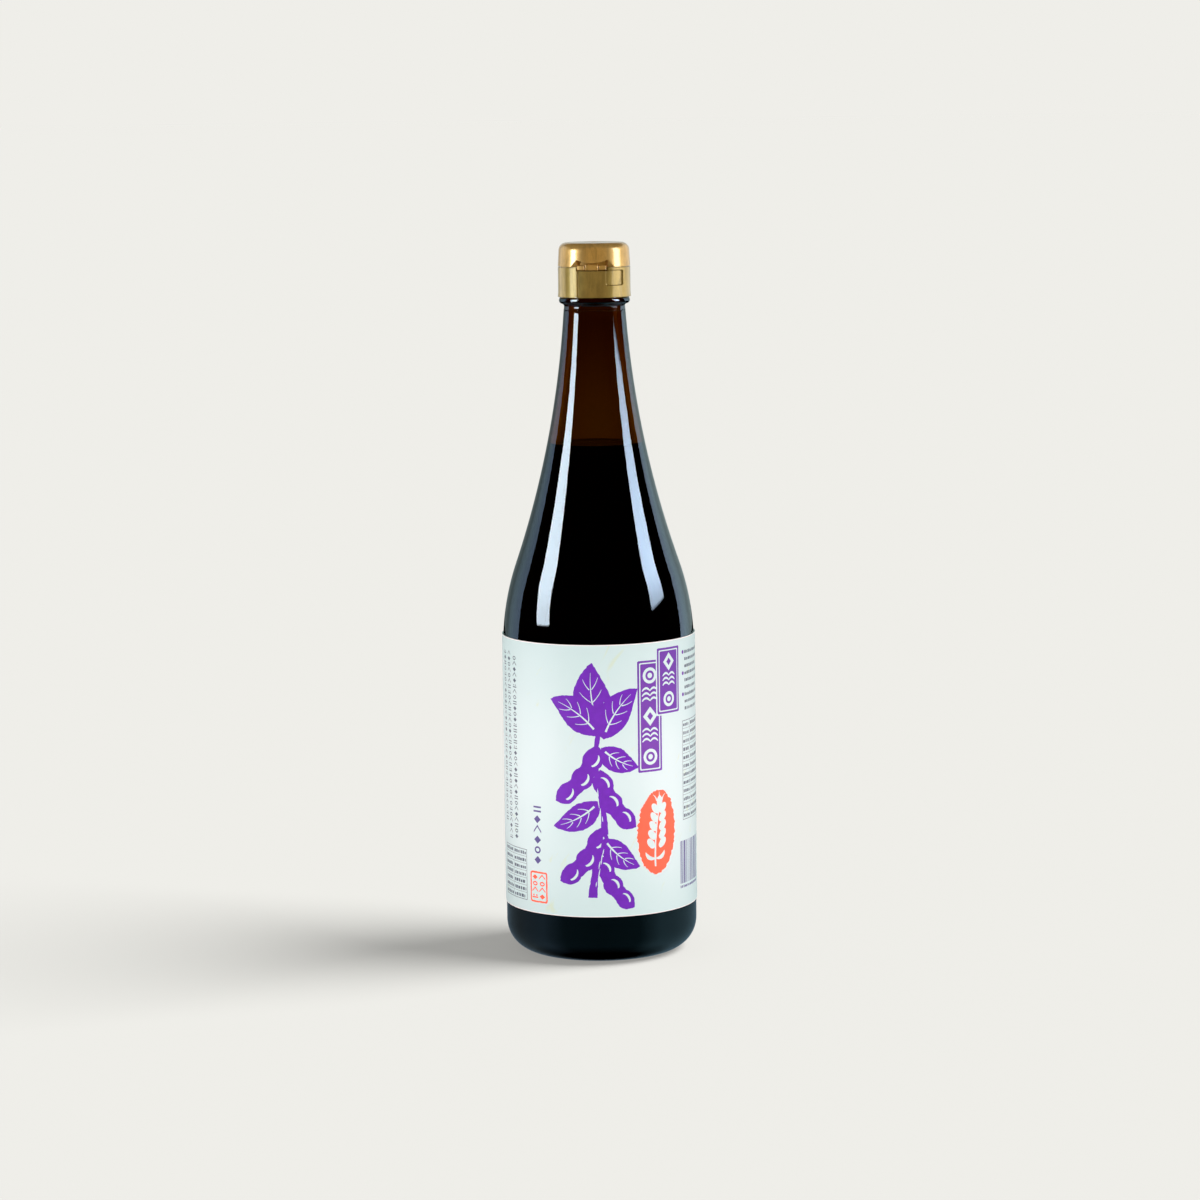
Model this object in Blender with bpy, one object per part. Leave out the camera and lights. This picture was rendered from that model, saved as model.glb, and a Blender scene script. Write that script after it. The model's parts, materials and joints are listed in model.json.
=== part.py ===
"""A 720 ml glass soy sauce bottle with a flip-top plastic cap, full and shut.

Metres, +Z up. The origin is the middle of the base, on the surface that the bottle stands on.
The front of the label and the hinge of the cap face -Y.
"""

from math import asin, cos, pi, radians, sin

import bmesh
import bpy
from mathutils import Matrix, Vector

MM = 0.001
TURN_STEPS = 60
CLEARANCE = 0.25 * MM

# Glass body, from the base up.
BODY_RADIUS = 39.2 * MM
HEEL_RADIUS = 12.2 * MM
BASE_RING_INNER = 25.5 * MM
PUNT_HEIGHT = 2.6 * MM
SHOULDER_Z = 125.6 * MM
SHOULDER_ARC = 108.0 * MM
SHOULDER_SLOPE = radians(18.97)
NECK_ARC = 400.0 * MM
NECK_TAPER = radians(4.1)

# Wall and floor of the glass.
WALL = 2.7 * MM
FLOOR_THICKNESS = 4.2 * MM
INNER_HEEL_RADIUS = 9.0 * MM
BORE_RADIUS = 9.3 * MM

# Neck, bead under the cap, and the finish that the cap grips.
PARTING_RING = 0.18 * MM
NECK_RADIUS = 12.5 * MM
NECK_Z = 263.2 * MM
BEAD_Z = 265.7 * MM
BEAD_RADIUS = 14.4 * MM
BEAD_TOP_Z = 268.9 * MM
FINISH_RADIUS = 12.3 * MM
LOCK_RADIUS = 13.0 * MM
LOCK_Z = 273.0 * MM
LOCK_HALF_HEIGHT = 1.2 * MM
MOUTH_Z = 279.2 * MM
LIP_RADIUS = 1.2 * MM

# Soy sauce.
FILL_Z = 209.4 * MM

# Label.
LABEL_Z = (20.6 * MM, 131.8 * MM)
LABEL_THICKNESS = 0.25 * MM
LABEL_GAP_STEPS = 2

# Cap: a skirt with a deck over the mouth, and a lid hinged to it at the front.
CAP_BOTTOM_Z = 269.25 * MM
CAP_BOTTOM_RADIUS = 14.87 * MM
SEAM_Z = 281.5 * MM
SEAM_GAP = 0.3 * MM
SEAM_RADIUS = 14.72 * MM
LID_SHOULDER_RADIUS = 14.35 * MM
LID_EDGE = 3.2 * MM
CAP_TOP_Z = 291.2 * MM
SKIRT_INNER = 13.4 * MM
DECK_UNDER_Z = 279.6 * MM
CAP_TURN = radians(-3.4)

# Hinge, seen from the front: a recess across the seam, with a block between two straps.
HINGE_HALF_WIDTH = 6.5 * MM
HINGE_DEPTH = 1.3 * MM
HINGE_RECESS_Z = (280.1 * MM, 284.2 * MM)
HINGE_BLOCK_HALF = 2.5 * MM
HINGE_STRAP = (3.2 * MM, 5.7 * MM)
HINGE_PIECE_Z = (280.45 * MM, 283.0 * MM)
CHEEK_WIDTH = 2.9 * MM
CHEEK_DEPTH = 0.9 * MM

# Tear slit and finger panel in the skirt, and the thumb lip at the back of the lid.
SLIT_WIDTH = 0.4 * MM
SLIT_DEPTH = 0.5 * MM
PANEL_ANGLES = (radians(24), radians(58))
PANEL_BOTTOM_Z = 274.2 * MM
PANEL_DEPTH = 0.4 * MM
THUMB_HALF_ANGLE = radians(21)
THUMB_REACH = 1.2 * MM
THUMB_HEIGHT = 1.3 * MM

FRONT = -pi / 2


def clear_scene():
    for obj in list(bpy.data.objects):
        bpy.data.objects.remove(obj, do_unlink=True)


def material(name, color, roughness, metallic=0.0, transmission=0.0):
    made = bpy.data.materials.new(name)
    made.use_nodes = True
    shader = made.node_tree.nodes["Principled BSDF"]
    shader.inputs["Base Color"].default_value = (*color, 1.0)
    shader.inputs["Roughness"].default_value = roughness
    shader.inputs["Metallic"].default_value = metallic
    shader.inputs["Transmission Weight"].default_value = transmission
    made.diffuse_color = (*color, 1.0)
    return made


def arc(center, radius, start, end, count):
    """count + 1 points of a circle in the (r, z) plane, from one angle to another."""
    angles = [start + (end - start) * step / count for step in range(count + 1)]
    return [(center[0] + radius * cos(a), center[1] + radius * sin(a)) for a in angles]


def object_from(bm, name, look=None):
    bmesh.ops.remove_doubles(bm, verts=bm.verts, dist=1e-6)
    bmesh.ops.dissolve_degenerate(bm, edges=bm.edges, dist=1e-7)
    bmesh.ops.recalc_face_normals(bm, faces=bm.faces)
    mesh = bpy.data.meshes.new(name)
    bm.to_mesh(mesh)
    bm.free()
    mesh.shade_smooth()
    mesh.set_sharp_from_angle(angle=radians(32))
    obj = bpy.data.objects.new(name, mesh)
    bpy.context.scene.collection.objects.link(obj)
    if look:
        mesh.materials.append(look)
    return obj


def turned(name, profile, look=None):
    """Turns an (r, z) outline about Z. It is an open line from axis to axis, or a closed loop."""
    bm = bmesh.new()
    verts = [bm.verts.new((r, 0.0, z)) for r, z in profile]
    on_axis = profile[0][0] == 0.0 and profile[-1][0] == 0.0
    pairs = list(zip(verts, verts[1:])) + ([] if on_axis else [(verts[-1], verts[0])])
    edges = [bm.edges.new(pair) for pair in pairs]
    bmesh.ops.spin(
        bm,
        geom=verts + edges,
        cent=(0, 0, 0),
        axis=(0, 0, 1),
        angle=2 * pi,
        steps=TURN_STEPS,
        use_merge=True,
    )
    return object_from(bm, name, look)


def sector(name, radii, heights, angles, look=None, steps=8):
    """Part of a ring with a rectangular section, between two angles about Z."""
    bm = bmesh.new()
    (inner, outer), (low, high) = radii, heights
    corners = [(inner, low), (outer, low), (outer, high), (inner, high)]
    verts = [bm.verts.new((r, 0.0, z)) for r, z in corners]
    face = bm.faces.new(verts)
    bmesh.ops.rotate(bm, verts=verts, matrix=Matrix.Rotation(angles[0], 3, "Z"))
    bmesh.ops.spin(
        bm,
        geom=verts + face.edges[:] + [face],
        cent=(0, 0, 0),
        axis=(0, 0, 1),
        angle=angles[1] - angles[0],
        steps=steps,
    )
    return object_from(bm, name, look)


def hull(name, points):
    """The convex solid round a few points."""
    bm = bmesh.new()
    for point in points:
        bm.verts.new(point)
    made = bmesh.ops.convex_hull(bm, input=bm.verts)
    bmesh.ops.delete(bm, geom=made["geom_interior"], context="VERTS")
    return object_from(bm, name)


def combine(target, operation, helper):
    """Adds an exact Boolean with a helper object, which stays out of renders."""
    helper.hide_render = True
    helper.display_type = "WIRE"
    helper.parent = target.parent
    modifier = target.modifiers.new(helper.name, "BOOLEAN")
    modifier.operation = operation
    modifier.solver = "EXACT"
    modifier.object = helper


def around(radius, angle, z):
    return Vector((radius * cos(angle), radius * sin(angle), z))


def shoulder(offset, shoulder_count, neck_count):
    """The shoulder's convex arc and the neck's concave one, moved inward by offset, from the body up."""
    center = (BODY_RADIUS - SHOULDER_ARC, SHOULDER_Z)
    low = arc(center, SHOULDER_ARC - offset, 0.0, SHOULDER_SLOPE, shoulder_count)
    reach = SHOULDER_ARC + NECK_ARC
    far = (center[0] + reach * cos(SHOULDER_SLOPE), center[1] + reach * sin(SHOULDER_SLOPE))
    high = arc(far, NECK_ARC + offset, pi + SHOULDER_SLOPE, pi + NECK_TAPER, neck_count)
    return low + high[1:]


def glass_floor_z(r):
    """Height of the inside floor, which rises to the middle as the punt below it does."""
    return FLOOR_THICKNESS + PUNT_HEIGHT * (1 - (r / BASE_RING_INNER) ** 2)


def inside_line(offset):
    """The glass's inner surface from the floor's middle up to the neck, moved inward by offset."""
    wall_r = BODY_RADIUS - WALL - offset
    heel_r = INNER_HEEL_RADIUS - offset
    heel_r_center = wall_r - heel_r
    floor = [(r, glass_floor_z(r) + offset) for r in (0.0, 0.5 * BASE_RING_INNER, BASE_RING_INNER)]
    heel = arc((heel_r_center, FLOOR_THICKNESS + offset + heel_r), heel_r, -pi / 2, 0.0, 5)
    return floor + heel + shoulder(WALL + offset, 5, 6)


def cut_at(line, z):
    """The part of a rising (r, z) line below z, ended at z."""
    below = [point for point in line if point[1] < z]
    low, high = below[-1], line[len(below)]
    share = (z - low[1]) / (high[1] - low[1])
    return below + [(low[0] + share * (high[0] - low[0]), z)]


def bottle():
    """Hollow amber glass: punted base, heel, body, shoulder, neck, bead and finish, open at the mouth."""
    look = material("amber glass", (0.09, 0.022, 0.004), 0.05, transmission=0.9)
    base = [(0.0, PUNT_HEIGHT), (0.6 * BASE_RING_INNER, 0.7 * PUNT_HEIGHT), (BASE_RING_INNER, 0.0)]
    heel = arc((BODY_RADIUS - HEEL_RADIUS, HEEL_RADIUS), HEEL_RADIUS, -pi / 2, 0.0, 6)
    outer = base + heel + shoulder(0.0, 5, 8)
    neck_foot = outer[-1]
    ring = [(neck_foot[0] + PARTING_RING, neck_foot[1] + PARTING_RING), (NECK_RADIUS, NECK_Z)]
    bead_round = BEAD_RADIUS - NECK_RADIUS
    bead = arc((NECK_RADIUS, BEAD_Z + bead_round), bead_round, -0.42 * pi, 0.1 * pi, 5)
    bead_top = [(BEAD_RADIUS - 0.5 * MM, BEAD_TOP_Z), (FINISH_RADIUS, BEAD_TOP_Z)]
    lock = [
        (FINISH_RADIUS, LOCK_Z - 1.6 * LOCK_HALF_HEIGHT),
        (LOCK_RADIUS, LOCK_Z - LOCK_HALF_HEIGHT / 2),
        (LOCK_RADIUS, LOCK_Z + LOCK_HALF_HEIGHT / 2),
        (FINISH_RADIUS, LOCK_Z + LOCK_HALF_HEIGHT),
    ]
    lip = arc((FINISH_RADIUS - LIP_RADIUS, MOUTH_Z - LIP_RADIUS), LIP_RADIUS, 0.0, pi / 2, 3)
    mouth = [(BORE_RADIUS + LIP_RADIUS / 2, MOUTH_Z), (BORE_RADIUS, MOUTH_Z - LIP_RADIUS / 2)]
    inner = [point for point in inside_line(0.0) if point[1] < NECK_Z - 3 * MM]
    outside = outer + ring + [(NECK_RADIUS, BEAD_Z)] + bead + bead_top + lock + lip
    inside = mouth + [(BORE_RADIUS, NECK_Z)] + inner[::-1]
    return turned("bottle", outside + inside, look)


def soy_sauce():
    """The sauce up to its level, just clear of the glass."""
    look = material("soy sauce", (0.012, 0.004, 0.002), 0.08)
    line = cut_at(inside_line(CLEARANCE), FILL_Z)
    return turned("soy_sauce", line + [(0.0, FILL_Z)], look)


def label():
    """A paper wrap whose two ends leave a narrow strip of glass at the back."""
    look = material("label paper", (0.80, 0.88, 0.89), 0.55)
    inner = BODY_RADIUS + CLEARANCE
    step = 2 * pi / TURN_STEPS
    half_gap = LABEL_GAP_STEPS * step / 2
    return sector(
        "label",
        (inner, inner + LABEL_THICKNESS),
        LABEL_Z,
        (pi / 2 + half_gap, pi / 2 + 2 * pi - half_gap),
        look,
        TURN_STEPS - LABEL_GAP_STEPS,
    )


def hinge_angle(width, radius=SEAM_RADIUS):
    """The angle about Z that a width across the front takes at this radius."""
    return asin(width / radius)


def hinge_recess(name, radius_outside):
    half = hinge_angle(HINGE_HALF_WIDTH)
    return sector(
        name, (SEAM_RADIUS - HINGE_DEPTH, radius_outside), HINGE_RECESS_Z, (FRONT - half, FRONT + half)
    )


def cap_base(pivot, look):
    """Skirt over the finish with a deck over the mouth, cut by the hinge recess, slit and panel."""
    profile = [
        (0.0, DECK_UNDER_Z),
        (SKIRT_INNER, DECK_UNDER_Z),
        (SKIRT_INNER, CAP_BOTTOM_Z),
        (CAP_BOTTOM_RADIUS, CAP_BOTTOM_Z),
        (SEAM_RADIUS, SEAM_Z - SEAM_GAP / 2),
        (0.0, SEAM_Z - SEAM_GAP / 2),
    ]
    base = turned("cap_base", profile, look)
    base.parent = pivot
    outside = CAP_BOTTOM_RADIUS + 2 * MM
    combine(base, "DIFFERENCE", hinge_recess("base_hinge_recess", outside))
    slit = FRONT - hinge_angle(HINGE_HALF_WIDTH) + hinge_angle(SLIT_WIDTH)
    slit_half = hinge_angle(SLIT_WIDTH / 2)
    slit_radii = (SEAM_RADIUS - SLIT_DEPTH, outside)
    slit_heights = (CAP_BOTTOM_Z - MM, HINGE_RECESS_Z[0] + MM)
    combine(
        base,
        "DIFFERENCE",
        sector("tear_slit", slit_radii, slit_heights, (slit - slit_half, slit + slit_half), steps=1),
    )
    panel_radii = (SEAM_RADIUS - PANEL_DEPTH, outside)
    panel_angles = [FRONT + angle for angle in PANEL_ANGLES]
    combine(
        base,
        "DIFFERENCE",
        sector("finger_panel", panel_radii, (PANEL_BOTTOM_Z, SEAM_Z + MM), panel_angles, steps=6),
    )
    return base


def cheek(name, side):
    """Cuts the slanted facet beside the hinge recess, at the lid's lower edge."""
    near = FRONT + side * hinge_angle(HINGE_HALF_WIDTH - 0.1 * MM)
    far = FRONT + side * hinge_angle(HINGE_HALF_WIDTH + CHEEK_WIDTH)
    deep = SEAM_RADIUS - CHEEK_DEPTH
    outside = SEAM_RADIUS + 3 * MM
    low, high = SEAM_Z - MM, HINGE_RECESS_Z[1]
    points = [
        around(deep, near, low),
        around(SEAM_RADIUS, far, low),
        around(outside, near, low),
        around(outside, far, low),
        around(SEAM_RADIUS - 0.2 * MM, near, high),
        around(outside, near, high),
    ]
    return hull(name, points)


def cap_lid(pivot, look):
    """The shut lid with its hinge pieces and a thumb lip. What is inside can't be seen, so it is solid."""
    bottom = SEAM_Z + SEAM_GAP / 2
    edge_center = (LID_SHOULDER_RADIUS - LID_EDGE, CAP_TOP_Z - LID_EDGE)
    profile = [(0.0, bottom), (SEAM_RADIUS, bottom)]
    profile += arc(edge_center, LID_EDGE, radians(3), pi / 2, 6) + [(0.0, CAP_TOP_Z)]
    lid = turned("cap_lid", profile, look)
    lid.parent = pivot
    outside = SEAM_RADIUS + 2 * MM
    combine(lid, "DIFFERENCE", hinge_recess("lid_hinge_recess", outside))
    for side, name in ((-1, "left_cheek"), (1, "right_cheek")):
        combine(lid, "DIFFERENCE", cheek(name, side))
    back = SEAM_RADIUS - HINGE_DEPTH + SEAM_GAP
    pieces = {
        "hinge_block": (-HINGE_BLOCK_HALF, HINGE_BLOCK_HALF, SEAM_RADIUS - 0.15 * MM),
        "left_strap": (-HINGE_STRAP[1], -HINGE_STRAP[0], SEAM_RADIUS - 0.5 * MM),
        "right_strap": (HINGE_STRAP[0], HINGE_STRAP[1], SEAM_RADIUS - 0.5 * MM),
    }
    for name, (start, end, front) in pieces.items():
        angles = (FRONT + hinge_angle(start), FRONT + hinge_angle(end))
        drop = sector(name, (back, front), HINGE_PIECE_Z, angles, steps=3)
        root = sector(
            name + "_root",
            (back - 2 * MM, front - 0.1 * MM),
            (bottom + 0.2 * MM, HINGE_PIECE_Z[1] + 0.1 * MM),
            (angles[0] + 0.002, angles[1] - 0.002),
            steps=3,
        )
        combine(lid, "UNION", drop)
        combine(lid, "UNION", root)
    thumb_radii = (SEAM_RADIUS - 1.5 * MM, SEAM_RADIUS + THUMB_REACH)
    thumb_heights = (bottom, bottom + THUMB_HEIGHT)
    thumb_angles = (pi / 2 - THUMB_HALF_ANGLE, pi / 2 + THUMB_HALF_ANGLE)
    combine(lid, "UNION", sector("thumb_lip", thumb_radii, thumb_heights, thumb_angles, steps=7))
    return lid


def main():
    clear_scene()
    bottle()
    soy_sauce()
    label()
    pivot = bpy.data.objects.new("cap_turn", None)
    bpy.context.scene.collection.objects.link(pivot)
    pivot.rotation_euler.z = CAP_TURN
    gold = material("gold cap plastic", (0.44, 0.26, 0.055), 0.3, metallic=0.5)
    cap_base(pivot, gold)
    cap_lid(pivot, gold.copy())


main()
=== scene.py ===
"""The looks of a full soy sauce bottle: amber glass, dark sauce, a printed label and a gold flip-top cap.

Metres, +Z up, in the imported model's own frame. The front of the label and the cap's hinge face -Y.
"""

import json
import random
from math import asin, atan2, cos, dist, exp, hypot, pi, radians, sin, tan

import bpy
from mathutils import Matrix, Vector, noise
from mathutils.geometry import delaunay_2d_cdt

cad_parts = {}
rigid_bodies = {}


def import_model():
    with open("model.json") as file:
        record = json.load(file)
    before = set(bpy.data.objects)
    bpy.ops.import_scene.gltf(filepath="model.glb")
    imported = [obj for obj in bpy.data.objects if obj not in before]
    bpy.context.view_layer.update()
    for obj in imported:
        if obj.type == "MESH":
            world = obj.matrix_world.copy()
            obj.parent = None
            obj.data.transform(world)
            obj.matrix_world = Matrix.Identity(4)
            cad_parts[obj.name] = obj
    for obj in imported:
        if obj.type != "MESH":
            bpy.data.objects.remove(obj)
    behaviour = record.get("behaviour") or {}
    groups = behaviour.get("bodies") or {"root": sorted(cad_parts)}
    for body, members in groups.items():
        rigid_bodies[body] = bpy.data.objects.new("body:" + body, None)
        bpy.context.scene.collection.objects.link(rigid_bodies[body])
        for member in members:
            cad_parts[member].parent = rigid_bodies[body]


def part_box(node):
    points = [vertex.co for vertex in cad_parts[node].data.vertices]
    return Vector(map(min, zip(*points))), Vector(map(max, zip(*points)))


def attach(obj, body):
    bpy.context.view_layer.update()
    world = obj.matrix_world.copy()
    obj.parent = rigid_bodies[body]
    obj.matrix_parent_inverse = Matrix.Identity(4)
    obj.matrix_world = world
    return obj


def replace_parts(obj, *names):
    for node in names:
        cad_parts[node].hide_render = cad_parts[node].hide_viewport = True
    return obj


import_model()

bl_info = {
    "name": "Soy Sauce Bottle Looks",
    "version": (1, 0, 0),
    "blender": (4, 5, 0),
    "location": "View3D > Sidebar > Bottle",
    "description": "Dresses the packed soy sauce bottle with glass, sauce, label, cap and studio",
    "category": "Object",
}

MM = 0.001
FRONT = -pi / 2
ON_AXIS = 1e-7
SHARP_FROM = radians(35)
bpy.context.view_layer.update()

# Glass. The body's radius and the mouth come from the frame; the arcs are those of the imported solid.
BODY_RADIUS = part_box("bottle")[1].x
MOUTH_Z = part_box("bottle")[1].z
HEEL_RADIUS = 12.2 * MM
BASE_RING_INNER = 25.5 * MM
PUNT_HEIGHT = 2.6 * MM
SHOULDER_Z = 125.6 * MM
SHOULDER_ARC = 108.0 * MM
SHOULDER_SLOPE = radians(18.97)
NECK_ARC = 400.0 * MM
NECK_TAPER = radians(4.1)
NECK_LEAN = 0.072
FLOOR_THICKNESS = 4.2 * MM
INNER_HEEL_RADIUS = 9.0 * MM
BORE_RADIUS = 9.3 * MM
NECK_Z = 263.2 * MM
NECK_FLARE = ((0.01, 0.12), (0.05, 0.45), (0.07, 0.68))
RING_Z = 264.0 * MM
PARTING_RING = 0.05 * MM
NECK_RADIUS = 12.38 * MM
SWELL = 0.06 * MM
BEAD_MIDDLE_Z = 267.7 * MM
BEAD_FLATNESS = 0.7
BEAD_RADIUS = 14.4 * MM
BEAD_TOP_Z = 268.9 * MM
FINISH_RADIUS = 12.3 * MM
LIP_RADIUS = 1.2 * MM
MOULD_SEAM = 0.07 * MM
MOULD_SEAM_HALF = 0.16 * MM
MOULD_WAVE = 0.012 * MM
FILL_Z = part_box("soy_sauce")[1].z
SAUCE_INTO_WALL = 0.25 * MM

# Cap. The seam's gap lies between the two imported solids.
CAP_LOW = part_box("cap_base")[0].z
CAP_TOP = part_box("cap_lid")[1].z
SKIRT_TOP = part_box("cap_base")[1].z
LID_LOW = SKIRT_TOP + 0.3 * MM
CAP_LOW_RADIUS = 14.87 * MM
SEAM_RADIUS = 14.72 * MM
LID_TOP_RADIUS = 14.35 * MM
LID_EDGE = 3.2 * MM
CAP_HEM = 0.22 * MM
CAP_RIM = 0.07 * MM
SKIRT_INNER = 13.4 * MM
DECK_UNDER_Z = 279.6 * MM
CAP_TURN = radians(-3.4)
CHEEK = 2.9 * MM
RECESS_DEPTH = 1.9 * MM
HINGE_LOW = 280.1 * MM
# Distances round the cap from its front, along its surface.
HINGE_ARC = asin(6.5 * MM / SEAM_RADIUS) * SEAM_RADIUS
SLIT_ARC = -HINGE_ARC + 0.55 * MM
THUMB_ARC = radians(21) * SEAM_RADIUS
PANEL = ((radians(22.6) * SEAM_RADIUS, 274.2 * MM), (radians(56.0) * SEAM_RADIUS, 280.25 * MM))
# For each piece of the hinge its two ends round the cap, how deep it lies, its foot and its top, in mm.
HINGE_PIECES = {
    "hinge_block": (-2.75, 2.35, 0.1, 280.35, 282.6),
    "hinge_strap_left": (-6.5, -3.15, 0.35, 280.4, 282.3),
    "hinge_strap_right": (2.8, 5.9, 0.3, 280.5, 282.3),
}

# Label, from the frame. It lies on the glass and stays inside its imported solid. The sheet is in millimetres.
LABEL_LOW, LABEL_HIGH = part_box("label")[0].z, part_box("label")[1].z
LABEL_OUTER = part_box("label")[1].x - 0.1 * MM
LABEL_INNER = BODY_RADIUS + 0.05 * MM
LABEL_GAP = radians(12)
SHEET_HALF = (pi - LABEL_GAP / 2) * LABEL_OUTER / MM
SHEET_HEIGHT = (LABEL_HIGH - LABEL_LOW) / MM
SHEET_STRIPS = 174
INKS = ("paper", "purple", "panel", "red", "print", "bars", "painted_edge_light")
RAGGED_STEP = 0.7


def hex_color(text):
    """Linear RGBA of an sRGB hex colour."""
    parts = [int(text[i : i + 2], 16) / 255 for i in (1, 3, 5)]
    return (*(p / 12.92 if p <= 0.04045 else ((p + 0.055) / 1.055) ** 2.4 for p in parts), 1.0)


def settings_of(context, name):
    return getattr(context.scene, name)


# Nodes. A value is a constant, or another node's output, which is linked.


def add_node(tree, kind, values=None, **settings):
    node = tree.nodes.new(kind)
    for key, value in settings.items():
        setattr(node, key, value)
    for key, value in (values or {}).items():
        if isinstance(value, bpy.types.NodeSocket):
            tree.links.new(value, node.inputs[key])
        else:
            node.inputs[key].default_value = value
    return node


def new_material(name):
    """An empty node material, its output node, and a point's place on the object in metres."""
    made = bpy.data.materials.new(name)
    made.use_nodes = True
    tree = made.node_tree
    tree.nodes.clear()
    out = add_node(tree, "ShaderNodeOutputMaterial")
    return tree, made, out, add_node(tree, "ShaderNodeTexCoord").outputs["Object"]


def noise_at(tree, place, scale, detail, distortion=0.0):
    values = {"Vector": place, "Scale": scale, "Detail": detail, "Distortion": distortion}
    return add_node(tree, "ShaderNodeTexNoise", values).outputs["Fac"]


def stretched(tree, place, scale, turn=0.0):
    """The place turned about Y and stretched, for a pattern longer one way than the other."""
    values = {"Vector": place, "Rotation": (0.0, turn, 0.0), "Scale": scale}
    return add_node(tree, "ShaderNodeMapping", values).outputs["Vector"]


def ranged(tree, value, low, high, new_low=0.0, new_high=1.0):
    values = {"Value": value, "From Min": low, "From Max": high, "To Min": new_low, "To Max": new_high}
    return add_node(tree, "ShaderNodeMapRange", values).outputs["Result"]


def blend(tree, share, first, second):
    values = {"Factor": share, "A": first, "B": second}
    return add_node(tree, "ShaderNodeMix", values, data_type="RGBA").outputs["Result"]


def bumped(tree, height, strength, distance):
    values = {"Height": height, "Strength": strength, "Distance": distance}
    return add_node(tree, "ShaderNodeBump", values).outputs["Normal"]


def surface(tree, out, values):
    """Puts a Principled shader with these values on the material's surface."""
    shader = add_node(tree, "ShaderNodeBsdfPrincipled", values)
    tree.links.new(shader.outputs["BSDF"], out.inputs["Surface"])


# Shapes turned about Z.


def between(first, second, part, parts=1):
    """The values that lie part of parts of the way from the first ones to the second ones."""
    return tuple(a + (b - a) * part / parts for a, b in zip(first, second))


def arc(center, radius, start, end, count):
    """count + 1 points of a circle in the (r, z) plane, from one angle to another."""
    angles = [start + (end - start) * step / count for step in range(count + 1)]
    return [(center[0] + radius * cos(a), center[1] + radius * sin(a)) for a in angles]


def subdivided(line, step):
    """The same line, each of its stretches split into equal ones of about step."""
    made = []
    for start, end in zip(line, line[1:]):
        count = max(1, round(dist(start, end) / step))
        made += [between(start, end, i, count) for i in range(count)]
    return made + [line[-1]]


def spread(low, high, step, edges=(), fine=0.0, reach=0):
    """Places from low to high, step apart, with finer ones each side of every edge."""
    count = max(1, round((high - low) / step))
    places = {low + (high - low) * i / count for i in range(count + 1)}
    for edge in edges:
        places |= {edge + fine * i for i in range(-reach, reach + 1) if low < edge + fine * i < high}
    kept = []
    for place in sorted(places):
        if not kept or place - kept[-1] > fine / 3:
            kept.append(place)
    return kept


def turned(name, line, angles, relief=None):
    """Turns an (r, z) line that runs from axis to axis. relief(r, z, angle) moves a point outward."""
    verts, rings, faces = [], [], []
    for r, z in line:
        if r < ON_AXIS:
            rings.append([len(verts)])
            verts.append((0.0, 0.0, z))
            continue
        rings.append(list(range(len(verts), len(verts) + len(angles))))
        for angle in angles:
            out = r + (relief(r, z, angle) if relief else 0.0)
            verts.append((out * cos(angle), out * sin(angle), z))
    for low, high in zip(rings, rings[1:]):
        for i in range(len(angles)):
            j = (i + 1) % len(angles)
            corners = (low[i % len(low)], low[j % len(low)], high[j % len(high)], high[i % len(high)])
            faces.append(tuple(dict.fromkeys(corners)))
    return mesh_object(name, verts, faces)


def mesh_object(name, verts, faces):
    mesh = bpy.data.meshes.new(name)
    mesh.from_pydata(verts, [], faces)
    mesh.validate()
    mesh.shade_smooth()
    mesh.set_sharp_from_angle(angle=SHARP_FROM)
    return linked(name, mesh)


def linked(name, data):
    """A new object with this data, in the scene."""
    obj = bpy.data.objects.new(name, data)
    bpy.context.scene.collection.objects.link(obj)
    return obj


def smooth(x):
    x = min(1.0, max(0.0, x))
    return x * x * (3 - 2 * x)


def inside_box(x, y, low, high, corner, soft):
    """1 inside a round-cornered rectangle and 0 outside, with a soft edge."""
    half = ((high[0] - low[0]) / 2, (high[1] - low[1]) / 2)
    qx = abs(x - (low[0] + high[0]) / 2) - half[0] + corner
    qy = abs(y - (low[1] + high[1]) / 2) - half[1] + corner
    gap = hypot(max(qx, 0.0), max(qy, 0.0)) + min(max(qx, qy), 0.0) - corner
    return smooth(0.5 - gap / soft)


def even_angles(count):
    return [2 * pi * i / count for i in range(count)]


def wrapped(angle):
    """An angle between -pi and pi."""
    return (angle + pi) % (2 * pi) - pi


# The glass and what it holds.


def shoulder(offset, low_count, high_count):
    """The shoulder's convex arc and the neck's concave one, moved inward by offset, from the body up."""
    center = (BODY_RADIUS - SHOULDER_ARC, SHOULDER_Z)
    low = arc(center, SHOULDER_ARC - offset, 0.0, SHOULDER_SLOPE, low_count)
    reach = SHOULDER_ARC + NECK_ARC
    far = (center[0] + reach * cos(SHOULDER_SLOPE), center[1] + reach * sin(SHOULDER_SLOPE))
    return low + arc(far, NECK_ARC + offset, pi + SHOULDER_SLOPE, pi + NECK_TAPER, high_count)[1:]


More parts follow.
